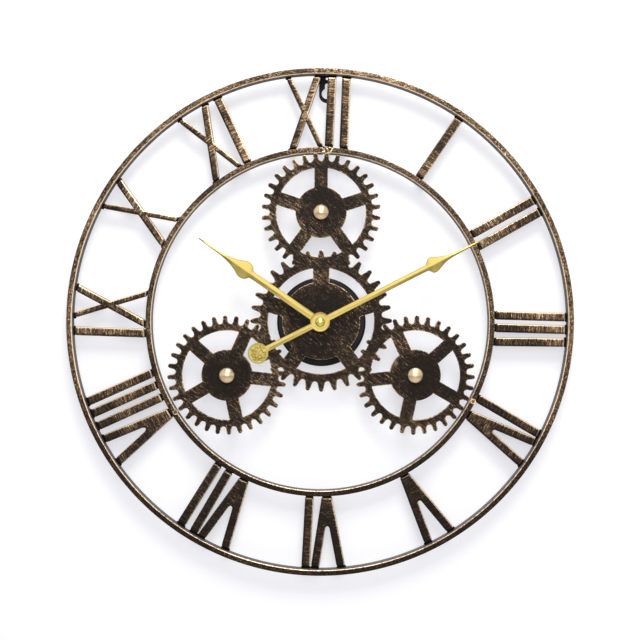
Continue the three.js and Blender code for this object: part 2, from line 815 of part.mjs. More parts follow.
function thirdWheel() {
  const rear = heightOf(thirdWheelHeight);
  const pinionFront = heightOf(centreWheelHeight) + wheelThickness + seatGap;
  const tooth = directionTo(thirdArbor, centreArbor);
  const leaf = facingGap(thirdArbor, centreArbor, teeth.thirdPinion);
  return meshOf("third_wheel", joined([
    toothed(teeth.thirdWheel, goingModule, rear, wheelThickness, thirdArbor, tooth),
    toothed(teeth.thirdPinion, centreModule, rear, pinionFront - rear, thirdArbor, leaf),
    pin(arborRadius, rearBearing, arborTop, thirdArbor),
  ]), gearPlastic);
}

function intermediateWheel() {
  const rear = heightOf(intermediateWheelHeight);
  const pinionFront = heightOf(secondsWheelHeight) + wheelThickness + seatGap;
  const tooth = directionTo(intermediateArbor, rotorArbor);
  const leaf = facingGap(intermediateArbor, centreArbor, teeth.intermediatePinion);
  return meshOf("intermediate_wheel", joined([
    toothed(teeth.intermediateWheel, motorModule, rear, wheelThickness, intermediateArbor, tooth),
    toothed(teeth.intermediatePinion, motorModule, rear, pinionFront - rear, intermediateArbor, leaf),
    pin(arborRadius, rearBearing, arborTop, intermediateArbor),
  ]), gearPlastic);
}

function rotor() {
  const rear = heightOf(intermediateWheelHeight);
  const magnetRear = heightOf(statorHeight) + statorThickness / 2 - magnetLength / 2;
  const leaf = facingGap(rotorArbor, intermediateArbor, teeth.rotorPinion);
  return meshOf("rotor", joined([
    toothed(teeth.rotorPinion, motorModule, rear, magnetRear - rear, rotorArbor, leaf),
    rod(magnetRadius, magnetRear, magnetRear + magnetLength, rotorArbor, magnetSides),
    pin(arborRadius, rearBearing, arborTop, rotorArbor),
  ]), magnetGrey);
}

// The centre wheel drives the minute pipe through a friction clutch: it is held between two collars
function centreWheel() {
  const rear = heightOf(centreWheelHeight);
  const tooth = directionTo(centreArbor, thirdArbor);
  const wheel = toothed(teeth.centreWheel, centreModule, rear, wheelThickness, centreArbor, tooth);
  const bore = rod(minutePipeRadius + runningGap, rear - cutThrough, rear + wheelThickness + cutThrough);
  return meshOf("centre_wheel", wheel.subtract(bore), brass);
}

function minutePipe() {
  const wheelRear = heightOf(centreWheelHeight);
  const wheelFront = wheelRear + wheelThickness;
  const pipeRear = wheelRear - seatGap - clutchThickness;
  const pinionRear = heightOf(idlerWheelHeight) - seatGap;
  const pinionFront = heightOf(idlerWheelHeight) + idlerWheelThickness + seatGap;
  const leaf = facingGap(centreArbor, idlerPin, teeth.minutePinion);
  const socket = pin(arborRadius + runningGap, pipeRear - cutThrough, wheelRear + pivotDepth, centreArbor);
  return meshOf("minute_pipe", joined([
    rod(minutePipeRadius, pipeRear, minutePipeTop),
    rod(clutchRadius, pipeRear, pipeRear + clutchThickness),
    rod(clutchRadius, wheelFront + seatGap, wheelFront + seatGap + clutchThickness),
    toothed(teeth.minutePinion, motionModule, pinionRear, pinionFront - pinionRear, centreArbor, leaf),
  ]).subtract(socket), steel);
}

// The idler turns on a fixed pin of the front case
function idlerWheel() {
  const rear = heightOf(idlerWheelHeight);
  const pinionFront = heightOf(hourWheelHeight) + hourWheelThickness + seatGap;
  const tooth = directionTo(idlerPin, centreArbor);
  const leaf = facingGap(idlerPin, centreArbor, teeth.idlerPinion);
  const bore = pin(idlerPinRadius + runningGap, rear - cutThrough, pinionFront + cutThrough, idlerPin);
  return meshOf("idler_wheel", joined([
    toothed(teeth.idlerWheel, motionModule, rear, idlerWheelThickness, idlerPin, tooth),
    toothed(teeth.idlerPinion, motionModule, rear, pinionFront - rear, idlerPin, leaf),
  ]).subtract(bore), gearPlastic);
}

function hourWheel() {
  const rear = heightOf(hourWheelHeight);
  const tooth = directionTo(centreArbor, idlerPin);
  const bore = rod(minutePipeRadius + runningGap, rear - cutThrough, hourPipeTop + cutThrough);
  return meshOf("hour_wheel", joined([
    toothed(teeth.hourWheel, motionModule, rear, hourWheelThickness, centreArbor, tooth),
    rod(hourCollarRadius, rear, caseCeiling - seatGap),
    rod(hourPipeRadius, rear, hourPipeTop),
  ]).subtract(bore), gearPlastic);
}

// The set knob's stem comes through the rear case and its pinion drives the idler
function setKnob() {
  const pinionRear = heightOf(idlerWheelHeight) - seatGap;
  const pinionFront = heightOf(idlerWheelHeight) + idlerWheelThickness + seatGap;
  const knobFront = caseRear - seatGap;
  const leaf = facingGap(knobStem, idlerPin, teeth.knobPinion);
  return meshOf("set_knob", joined([
    rod(setKnobRadius, knobFront - setKnobThickness, knobFront, knobStem, discSides),
    pin(stemRadius, knobFront - setKnobThickness / 2, pinionFront + pivotDepth, knobStem),
    toothed(teeth.knobPinion, motionModule, pinionRear, pinionFront - pinionRear, knobStem, leaf),
  ]), caseBlack);
}

// Battery bay: two skirts of the rear case hold the cell against the front case
const batteryPlace = -(caseInside - bayWall - bayClearance - batteryRadius);
const batteryAxis = caseCeiling - seatGap - batteryRadius;
const bayHalf = batteryRadius + bayClearance;
const contactInside = batteryLength / 2 + seatGap;
const contactOutside = caseInside - seatGap;

function battery() {
  const bodyLength = batteryLength - terminalLength;
  const body = new THREE.CylinderGeometry(batteryRadius, batteryRadius, bodyLength, discSides);
  const nub = new THREE.CylinderGeometry(terminalRadius, terminalRadius, batteryLength, pinSides);
  const solid = joined([
    solidOf(body).translate([0, -terminalLength / 2, 0]),
    solidOf(nub),
  ]).rotate([0, 0, -90]);
  return meshOf("battery", solid.translate([0, batteryPlace, batteryAxis]), cellWrap);
}

// Contacts: folded leaves between the cell's ends and the case, with arms up to the circuit board
const boardRear = heightOf(boardHeight);
const armRear = boardRear - contactArmHeight / 2;

function contactPad(side) {
  const [left, right] = side < 0 ? [-contactOutside, -contactInside] : [contactInside, contactOutside];
  const rear = batteryAxis - contactPadHalf;
  const front = batteryAxis + contactPadHalf;
  return block(left, right, batteryPlace - contactPadHalf, batteryPlace + contactPadHalf, rear, front);
}

function contactArm(side, top) {
  const [left, right] = side < 0 ? [-contactOutside, -contactInside] : [contactInside, contactOutside];
  return block(left, right, batteryPlace, top, armRear, armRear + contactArmHeight);
}

const boardRight = contactInside - seatGap;
const boardTop = contactInside - seatGap;

function batteryContacts() {
  const positive = contactPad(1).add(contactArm(1, boardTop - boardSize / 2));
  const topEnd = boardRight - boardSize / 2;
  const armFront = armRear + contactArmHeight;
  const acrossTop = block(-contactOutside, topEnd, contactInside, contactOutside, armRear, armFront);
  const negative = joined([contactPad(-1), contactArm(-1, contactOutside), acrossTop]);
  return [
    meshOf("battery_contact_positive", positive, steel),
    meshOf("battery_contact_negative", negative, steel),
  ];
}

// Motor: a C-shaped stator round the rotor, with the coil's core across its legs
const statorRear = heightOf(statorHeight);
const statorTop = rotorArbor.y + statorSpan / 2;
const statorBottom = rotorArbor.y - statorSpan / 2;
const statorRight = rotorArbor.x + magnetRadius + statorAirGap + statorLeg / 2;
const statorLeft = coilPlace - coreWidth / 2;
const statorThroat = rotorArbor.x - magnetRadius - statorAirGap - statorLeg / 2;

function stator() {
  const front = statorRear + statorThickness;
  const whole = block(statorLeft, statorRight, statorBottom, statorTop, statorRear, front);
  const throat = block(
    statorLeft - cutThrough, statorThroat, statorBottom + statorLeg, statorTop - statorLeg,
    statorRear - cutThrough, front + cutThrough,
  );
  const holeRadius = magnetRadius + statorAirGap;
  const rotorHole = rod(holeRadius, statorRear - cutThrough, front + cutThrough, rotorArbor, magnetSides);
  return meshOf("stator", whole.subtract(throat).subtract(rotorHole), steel);
}

function coil() {
  const coreRear = statorRear + statorThickness + seatGap;
  const coreFront = coreRear + statorThickness;
  const windingLength = statorSpan - 2 * statorLeg - 2 * seatGap;
  const winding = new THREE.CylinderGeometry(coilRadius, coilRadius, windingLength, magnetSides);
  winding.translate(coilPlace, rotorArbor.y, (coreRear + coreFront) / 2);
  const core = block(statorLeft, statorLeft + coreWidth, statorBottom, statorTop, coreRear, coreFront);
  return meshOf("coil", solidOf(winding).add(core), copperWire);
}

// Circuit board with its chip, and the quartz crystal can
function circuitBoard() {
  const boardFront = boardRear + boardThickness;
  const boardLeft = boardRight - boardSize;
  const board = block(boardLeft, boardRight, boardTop - boardSize, boardTop, boardRear, boardFront);
  const chipPlace = new THREE.Vector2(boardRight - chipInset, boardTop - chipInset);
  const chip = pin(chipRadius, boardRear - boardThickness, boardRear + boardThickness / 2, chipPlace);
  return meshOf("circuit_board", board.add(chip), boardGreen);
}

function crystal() {
  const can = new THREE.CylinderGeometry(crystalRadius, crystalRadius, crystalLength, pinSides);
  can.translate(boardRight - crystalInset, boardTop - boardSize / 2, boardRear - seatGap - crystalRadius);
  return meshOf("crystal", solidOf(can), steel);
}

// Case: two plastic shells. Bosses and bores in them carry the arbors, the pin, the stator and the board.
function boss(place, rear, front, bore) {
  return pin(bore + bossWall, rear, front, place);
}

const arborBore = arborRadius + runningGap;
const stemBore = stemRadius + runningGap;
const statorPosts = [
  new THREE.Vector2(statorRight - statorLeg / 2, statorTop - statorLeg / 2),
  new THREE.Vector2(coilPlace / 2 - statorLeg, statorBottom + statorLeg / 2),
];
const boardPosts = [
  new THREE.Vector2(boardRight - boardSize + boardPostInset, boardTop - boardPostInset),
  new THREE.Vector2(boardRight - boardPostInset, boardTop - boardSize + boardPostInset),
];

function tray(rear, front, openRear) {
  const half = caseSize / 2;
  const inner = caseInside;
  const roomRear = openRear ? rear - cutThrough : rear + caseWall;
  const roomFront = openRear ? front - caseWall : front + cutThrough;
  return block(-half, half, -half, half, rear, front)
    .subtract(block(-inner, inner, -inner, inner, roomRear, roomFront));
}

function rearCase() {
  const skirtFront = caseCeiling - seatGap;
  const skirtEnd = contactInside - seatGap;
  const upperSkirt = batteryPlace + bayHalf;
  const lowerSkirt = batteryPlace - bayHalf;
  const bay = block(-contactInside, contactInside, lowerSkirt, upperSkirt, caseRear - cutThrough, caseSplit);
  const solid = joined([
    tray(caseRear, caseSplit - seatGap, false),
    block(-skirtEnd, skirtEnd, upperSkirt, upperSkirt + bayWall, caseFloor - seatGap, skirtFront),
    block(-skirtEnd, skirtEnd, lowerSkirt - bayWall, lowerSkirt, caseFloor - seatGap, skirtFront),
    boss(centreArbor, caseRear + seatGap, heightOf(secondsWheelHeight) - seatGap, arborBore),
    boss(thirdArbor, caseRear + seatGap, heightOf(secondsWheelHeight) - seatGap, arborBore),
    ...statorPosts.map((place) => pin(postRadius, caseRear + seatGap, statorRear - seatGap, place)),
  ]);
  const pivotHole = (place) => pin(arborBore, rearBearing - seatGap, caseSplit, place);
  const stemHole = pin(stemBore, caseRear - cutThrough, caseSplit, knobStem);
  const arbors = [centreArbor, thirdArbor, intermediateArbor, rotorArbor];
  const cuts = joined([bay, stemHole, ...arbors.map(pivotHole)]);
  return meshOf("rear_case", solid.subtract(cuts), caseBlack);
}

function frontCase() {
  const stemBearing = heightOf(idlerWheelHeight) + idlerWheelThickness + 2 * seatGap;
  const boardPostRear = boardRear + boardThickness + seatGap;
  const solid = joined([
    tray(caseSplit, caseFront, true),
    rod(shaftRadius, caseCeiling, shaftTop),
    boss(thirdArbor, frontBearing, caseCeiling + seatGap, arborBore),
    boss(intermediateArbor, frontBearing, caseCeiling + seatGap, arborBore),
    boss(rotorArbor, frontBearing, caseCeiling + seatGap, arborBore),
    boss(knobStem, stemBearing, caseCeiling + seatGap, stemBore),
    pin(idlerPinRadius, heightOf(idlerWheelHeight), caseCeiling + seatGap, idlerPin),
    ...boardPosts.map((place) => pin(postRadius, boardPostRear, caseCeiling + seatGap, place)),
  ]);
  const pivotHole = (place) => pin(arborBore, frontBearing - cutThrough, arborTop + seatGap, place);
  const cuts = joined([
    rod(hourPipeRadius + runningGap, caseSplit, shaftTop + cutThrough),
    ...[thirdArbor, intermediateArbor, rotorArbor].map(pivotHole),
    pin(stemBore, stemBearing - cutThrough, stemBearing + pivotDepth + seatGap, knobStem),
  ]);
  return meshOf("front_case", solid.subtract(cuts), caseBlack);
}

// Assembly
const plateGroup = new THREE.Group();
plateGroup.position.set(...platePlace, 0);
plateGroup.add(gearPlate(), ...smallGearAngles.map((angle, i) => gearBoss(i + 1, angle)));

const movementGroup = new THREE.Group();
movementGroup.position.x = movementShift;
movementGroup.add(
  movementHousing(),
  frontCase(),
  rearCase(),
  ringWasher("rubber_gasket", gasketRadius, gasketRear, gasketThickness, rubber),
  ringWasher("shaft_washer", washerRadius, washerRear, washerThickness, brass),
  shaftNut(),
  secondsWheel(),
  thirdWheel(),
  intermediateWheel(),
  rotor(),
  centreWheel(),
  minutePipe(),
  idlerWheel(),
  hourWheel(),
  setKnob(),
  stator(),
  coil(),
  circuitBoard(),
  crystal(),
  battery(),
  ...batteryContacts(),
  hourHandMesh(),
  minuteHandMesh(),
  capNut(),
);

const clock = new THREE.Group();
clock.name = "skeleton_wall_clock";
clock.rotation.x = Math.PI / 2;
clock.position.set(-hangerShift, hangerMiddle, -bearingHeight);
clock.add(
  ring("outer_ring", clockRadius, outerRingSegments),
  ring("inner_ring", innerRingRadius, innerRingSegments),
  ...numerals.map(numeral),
  plateGroup,
  movementGroup,
  hangerPlate(),
);
clock.updateMatrixWorld(true);

export default clock;
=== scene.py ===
import math

import bmesh
import bpy
import numpy as np
from mathutils import Matrix, Vector, noise
from mathutils.geometry import delaunay_2d_cdt
from mathutils.kdtree import KDTree


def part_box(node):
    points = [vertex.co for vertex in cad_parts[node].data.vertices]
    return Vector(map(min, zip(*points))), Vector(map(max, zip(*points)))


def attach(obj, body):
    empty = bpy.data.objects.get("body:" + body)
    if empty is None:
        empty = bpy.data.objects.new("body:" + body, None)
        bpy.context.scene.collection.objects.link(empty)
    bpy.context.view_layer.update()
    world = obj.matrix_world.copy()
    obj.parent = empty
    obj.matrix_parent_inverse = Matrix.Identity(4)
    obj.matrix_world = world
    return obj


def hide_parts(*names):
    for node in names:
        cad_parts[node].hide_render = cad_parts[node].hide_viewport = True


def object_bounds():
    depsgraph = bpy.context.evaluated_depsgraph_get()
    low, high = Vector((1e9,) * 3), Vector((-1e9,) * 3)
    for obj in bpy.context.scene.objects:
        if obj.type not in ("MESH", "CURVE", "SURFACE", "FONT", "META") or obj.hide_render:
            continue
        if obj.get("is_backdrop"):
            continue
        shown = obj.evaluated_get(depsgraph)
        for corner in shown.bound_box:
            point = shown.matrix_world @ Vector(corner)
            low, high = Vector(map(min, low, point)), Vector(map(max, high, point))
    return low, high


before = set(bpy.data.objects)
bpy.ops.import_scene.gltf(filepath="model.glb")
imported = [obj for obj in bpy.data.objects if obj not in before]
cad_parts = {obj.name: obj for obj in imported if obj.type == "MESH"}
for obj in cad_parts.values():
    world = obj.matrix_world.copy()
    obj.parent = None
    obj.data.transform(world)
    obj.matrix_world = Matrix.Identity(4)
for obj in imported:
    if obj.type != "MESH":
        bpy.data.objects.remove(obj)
cad_low, cad_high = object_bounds()

# The photographer's place: close to the rings' axis, a metre in front of the clock. Shapes below are
# drawn in millimetres on the dial, x to the right, y up and z from the wall towards the viewer, and the
# matrix on_wall takes them to their place in the room.
METRE = 1000.0
RING_FRONT = 21.0
PICTURE_SIDE = 640
FOCAL_PIXELS = 847.7
SENSOR_WIDTH = 36.0
CENTRE_PIXEL = (320.1, 321.9)
VIEWING_DISTANCE = 1000.0

ring_low, ring_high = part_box("outer_ring")
ring_centre = (ring_low + ring_high) / 2
wall_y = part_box("movement_housing")[1].y
on_wall = (
    Matrix.Translation((ring_centre.x, wall_y, ring_centre.z))
    @ Matrix.Rotation(math.radians(90), 4, "X")
    @ Matrix.Scale(1 / METRE, 4)
)
camera_data = bpy.data.cameras.new("camera")
camera_data.sensor_width = SENSOR_WIDTH
camera_data.lens = SENSOR_WIDTH * FOCAL_PIXELS / PICTURE_SIDE
camera = bpy.data.objects.new("camera", camera_data)
bpy.context.scene.collection.objects.link(camera)
aim = [(pixel - PICTURE_SIDE / 2) / FOCAL_PIXELS * VIEWING_DISTANCE for pixel in CENTRE_PIXEL]
camera.location = on_wall @ Vector((-aim[0], aim[1], RING_FRONT + VIEWING_DISTANCE))
camera.rotation_euler = (math.radians(90), 0, 0)
bpy.context.scene.camera = camera
bpy.context.scene.view_settings.view_transform = "Standard"

# The room: a white wall that the housing's rim rests on, a pale floor, a large soft lamp overhead
# that throws the shadows down the wall, and a weaker one in front. The wall is clear from behind and
# casts no shadow, so that the clock's back can be looked at, by the light of a third lamp.
WALL_SIDE = 6.0
FLOOR_SIDE = 16.0
WALL_WHITE = (0.5, 0.5, 0.5)
WALL_GLOW = (0.55, 0.55, 0.58)
FLOOR_DROP = 1.1
FLOOR_PALE = (0.82, 0.81, 0.8)
FLOOR_GLOW = (0.24, 0.24, 0.25)
KEY_SIDE = 0.7
KEY_WATTS = 24.0
KEY_PLACE = (0.15, -0.95, 1.05)
KEY_WHITE = (1.0, 0.98, 0.95)
FILL_SIDE = 1.6
FILL_WATTS = 16.0
FILL_PLACE = (0.1, -2.2, 0.2)
FILL_WHITE = (1.0, 0.98, 0.96)
REAR_SIDE = 1.6
REAR_WATTS = 18.0
REAR_PLACE = (-0.4, 2.2, 0.5)
SKY = (0.9, 0.94, 1.0)
SKY_STRENGTH = 0.34
SEEN_BY = ("Camera", "Glossy", "Transmission")


def put(tree, socket, value):
    """Sets the socket to the value, or joins it to it where the value is another node's output."""
    if isinstance(value, bpy.types.NodeSocket):
        tree.links.new(value, socket)
    else:
        socket.default_value = value


def add(tree, kind, inputs=(), **settings):
    """A node of that kind, with its settings and its inputs, which are values or other nodes' outputs."""
    made = tree.nodes.new(kind)
    for name, value in settings.items():
        setattr(made, name, value)
    for name, value in dict(inputs).items():
        put(tree, made.inputs[name], value)
    return made


def worked(tree, operation, first, second=0.0):
    return add(tree, "ShaderNodeMath", {0: first, 1: second}, operation=operation).outputs[0]


def blank_material(name):
    made = bpy.data.materials.new(name)
    made.use_nodes = True
    made.node_tree.nodes.clear()
    return made, made.node_tree


def surface(tree, shader):
    add(tree, "ShaderNodeOutputMaterial", {"Surface": shader})


def seen_directly(tree):
    """One where the ray comes from the camera, a mirror or glass, and otherwise nought."""
    path = add(tree, "ShaderNodeLightPath")
    seen = 0.0
    for ray in SEEN_BY:
        seen = worked(tree, "MAXIMUM", path.outputs[f"Is {ray} Ray"], seen)
    return seen


def backdrop(name, side, matrix, material, shades=True):
    """A square of that side, taken to its place by the matrix, that isn't part of the clock."""
    corners = [(x * side / 2, y * side / 2, 0) for x, y in ((-1, -1), (1, -1), (1, 1), (-1, 1))]
    mesh = bpy.data.meshes.new(name)
    mesh.from_pydata(corners, [], [(0, 1, 2, 3)])
    mesh.transform(matrix)
    mesh.materials.append(material)
    made = bpy.data.objects.new(name, mesh)
    made.visible_shadow = shades
    bpy.context.scene.collection.objects.link(made)
    made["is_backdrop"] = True


def soft_lamp(name, side, watts, place, color):
    """A square lamp that points at the middle of the rings."""
    data = bpy.data.lights.new(name, "AREA")
    data.size = side
    data.energy = watts
    data.color = color
    lamp = bpy.data.objects.new(name, data)
    lamp.location = place
    lamp.rotation_euler = (ring_centre - Vector(place)).to_track_quat("-Z", "Y").to_euler()
    bpy.context.scene.collection.objects.link(lamp)


def glowing_paint(tree, color, glow):
    """Flat paint that is lighter by glow where it is seen directly."""
    lit = add(tree, "ShaderNodeBsdfDiffuse", {"Color": (*color, 1)}).outputs[0]
    lift = {"Color": (*glow, 1), "Strength": seen_directly(tree)}
    lifted = add(tree, "ShaderNodeEmission", lift).outputs[0]
    return add(tree, "ShaderNodeAddShader", {0: lit, 1: lifted}).outputs[0]


wall_paint, tree = blank_material("white_wall")
front = glowing_paint(tree, WALL_WHITE, WALL_GLOW)
behind = add(tree, "ShaderNodeNewGeometry").outputs["Backfacing"]
clear = add(tree, "ShaderNodeBsdfTransparent").outputs[0]
surface(tree, add(tree, "ShaderNodeMixShader", {0: behind, 1: front, 2: clear}).outputs[0])

floor_paint, tree = blank_material("pale_floor")
surface(tree, glowing_paint(tree, FLOOR_PALE, FLOOR_GLOW))

upright = on_wall @ Matrix.Scale(METRE, 4)
level = Matrix.Translation((0, 0, ring_centre.z - FLOOR_DROP))
backdrop("wall", WALL_SIDE, upright, wall_paint, shades=False)
backdrop("floor", FLOOR_SIDE, level, floor_paint)
soft_lamp("overhead_lamp", KEY_SIDE, KEY_WATTS, KEY_PLACE, KEY_WHITE)
soft_lamp("front_lamp", FILL_SIDE, FILL_WATTS, FILL_PLACE, FILL_WHITE)
soft_lamp("rear_lamp", REAR_SIDE, REAR_WATTS, REAR_PLACE, FILL_WHITE)

world = bpy.data.worlds.new("studio")
world.use_nodes = True
world.node_tree.nodes.clear()
tree = world.node_tree
sky = add(tree, "ShaderNodeBackground", {"Color": (*SKY, 1), "Strength": SKY_STRENGTH}).outputs[0]
white = add(tree, "ShaderNodeBackground", {"Color": (1, 1, 1, 1), "Strength": 1.0}).outputs[0]
both = add(tree, "ShaderNodeMixShader", {0: seen_directly(tree), 1: sky, 2: white}).outputs[0]
add(tree, "ShaderNodeOutputWorld", {"Surface": both})
bpy.context.scene.world = world

# The two rings: rectangular steel tube with round arrises, rolled to a circle and butt welded near
# twelve. Like all the frame they are sprayed brown-black and dry brushed with bronze, which stays in
# fine strokes and on the arrises, while the side walls stay unbrushed. Those walls are a lavender grey,
# a painted reflection of the white wall, and the faces are lighter where they look up and to the right
# and darker towards the dial's foot, which is painted light and shade.
RING_WIDTH = 7.0
RING_ARRIS = 1.5
ARRIS_STEPS = 6
ROUND_THE_RING = 360
IRON_DARK = (0.0125, 0.0088, 0.0066)
IRON_BROWN = (0.060, 0.038, 0.024)
BRONZE = (0.29, 0.185, 0.102)
BRONZE_LIGHT = (0.86, 0.68, 0.46)
# The rings' side walls: a lavender grey that is a painted reflection of the white wall
RING_WALL_REFLECTION = (0.105, 0.098, 0.115)
# Painted light and shade: faces that look this way, up and to the right, hold more bronze and those
# that look away less, and the flats hold less towards the dial's foot, between these heights in metres
PAINTED_LIGHT_FROM = (0.7, 0.0, 0.71)
PAINTED_SHADE_HEIGHTS = (-0.26, 0.0)
# The share of the wear that lies in the brush's marks, where the rest is speckle
MARKS_SHARE = 0.62
# The wear at which each coat begins to show and at which it covers
BROWN_WEAR, BRONZE_WEAR, LIGHT_WEAR = (-0.14, 0.05), (0.02, 0.15), (0.14, 0.30)
# The wear over which the surface gets smoother, and its roughness before and after
SMOOTH_WEAR, SMOOTH_ROUGHNESS = (0.0, 0.3), (0.5, 0.36)
# How squarely a face looks to the front or back where a side wall becomes an arris, and an arris a flat
WALL_SQUARE, ARRIS_SQUARE = (0.08, 0.45), (0.75, 0.98)
# How far a face looks away from the dial's middle, where the inner wall becomes an arris, and that a flat
INWARD_WALL, INWARD_ARRIS = (-0.95, -0.85), (-0.35, -0.15)
# How far from an edge the wide band of bronze fades
WIDE_BAND = (2.0, 8.0)
# How far a face leans towards the painted light's way, or away from it, when its painted light and shade
# count in full
LEAN_LIMIT = 0.45
# How far a face looks back where it begins to hold less bronze and where it holds least, and how much less
REARWARD, REARWARD_LOSS = (0.2, 0.6), 0.16
# How much of a side wall takes the walls' colour, on the rings a painted reflection, and how metallic the
# bronze is
WALL_COVER, METAL_COVER = 0.94, 0.5
# The joint: its place in degrees clockwise of twelve, its slit, and how far the weld in it lies below
# the tube's faces and reaches to either side, in halves of the slit
JOINT_CLOCK_DEGREES = 1.1
JOINT_GAP = 1.0
JOINT_DROP = 1.3
JOINT_REACH, JOINT_STEPS = 3, 8


def object_place(tree):
    return add(tree, "ShaderNodeTexCoord").outputs["Object"]


def ramp(tree, value, low, high, to_low=0.0, to_high=1.0):
    """The value's place between low and high, eased, as a number from to_low to to_high."""
    inputs = {"Value": value, "From Min": low, "From Max": high, "To Min": to_low, "To Max": to_high}
    return add(tree, "ShaderNodeMapRange", inputs, interpolation_type="SMOOTHSTEP").outputs[0]


def grain(tree, place, scale=1.0, detail=2.0, rough=0.55):
    """Noise about a half."""
    inputs = {"Vector": place, "Scale": scale, "Detail": detail, "Roughness": rough}
    return add(tree, "ShaderNodeTexNoise", inputs).outputs["Fac"]


def about_nought(tree, value, size):
    """Noise about a half as noise about nought, that much stronger."""
    return worked(tree, "MULTIPLY", worked(tree, "SUBTRACT", value, 0.5), size)


def dial_place(tree):
    """The place measured from the middle of the rings."""
    inputs = {0: object_place(tree), 1: ring_centre}
    return add(tree, "ShaderNodeVectorMath", inputs, operation="SUBTRACT").outputs[0]


def round_the_dial(tree, out, around):
    """A place in a pattern that runs round the dial: out and around are its scales from the middle
    outwards and along the outer ring. Its seam is at twelve."""
    x, y, z = add(tree, "ShaderNodeSeparateXYZ", {0: dial_place(tree)}).outputs
    flat = add(tree, "ShaderNodeCombineXYZ", {"X": x, "Z": z}).outputs[0]
    reach = add(tree, "ShaderNodeVectorMath", {0: flat}, operation="LENGTH").outputs["Value"]
    down = worked(tree, "MULTIPLY", z, -1.0)
    way = worked(tree, "ARCTAN2", x, down)
    return add(tree, "ShaderNodeCombineXYZ", {
        "X": worked(tree, "MULTIPLY", reach, out),
        "Y": worked(tree, "MULTIPLY", y, out),
        "Z": worked(tree, "MULTIPLY", way, around * RING_REACH),
    }).outputs[0]


def blended(tree, share, first, second):
    """The first colour, with that share of the second."""
    made = add(tree, "ShaderNodeMix", data_type="RGBA")
    put(tree, made.inputs[0], share)
    for socket, value in ((made.inputs[6], first), (made.inputs[7], second)):
        put(tree, socket, value if isinstance(value, bpy.types.NodeSocket) else (*value, 1))
    return made.outputs[2]


def facing(tree, normal, way):
    """One where the face looks that way, and minus one where it looks away from it."""
    inputs = {0: normal, 1: way}
    return add(tree, "ShaderNodeVectorMath", inputs, operation="DOT_PRODUCT").outputs["Value"]


def inward_arris(tree, normal):
    """One on slanting faces that look towards the dial's middle, and nought on flats and walls."""
    out = add(tree, "ShaderNodeVectorMath", {0: dial_place(tree)}, operation="NORMALIZE").outputs[0]
    outward = facing(tree, normal, out)
    not_flat = ramp(tree, outward, *INWARD_ARRIS, 1.0, 0.0)
    return worked(tree, "MULTIPLY", not_flat, ramp(tree, outward, *INWARD_WALL))


def bumped(tree, strength, distance, height):
    inputs = {"Strength": strength, "Distance": distance, "Height": height}
    return add(tree, "ShaderNodeBump", inputs).outputs[0]


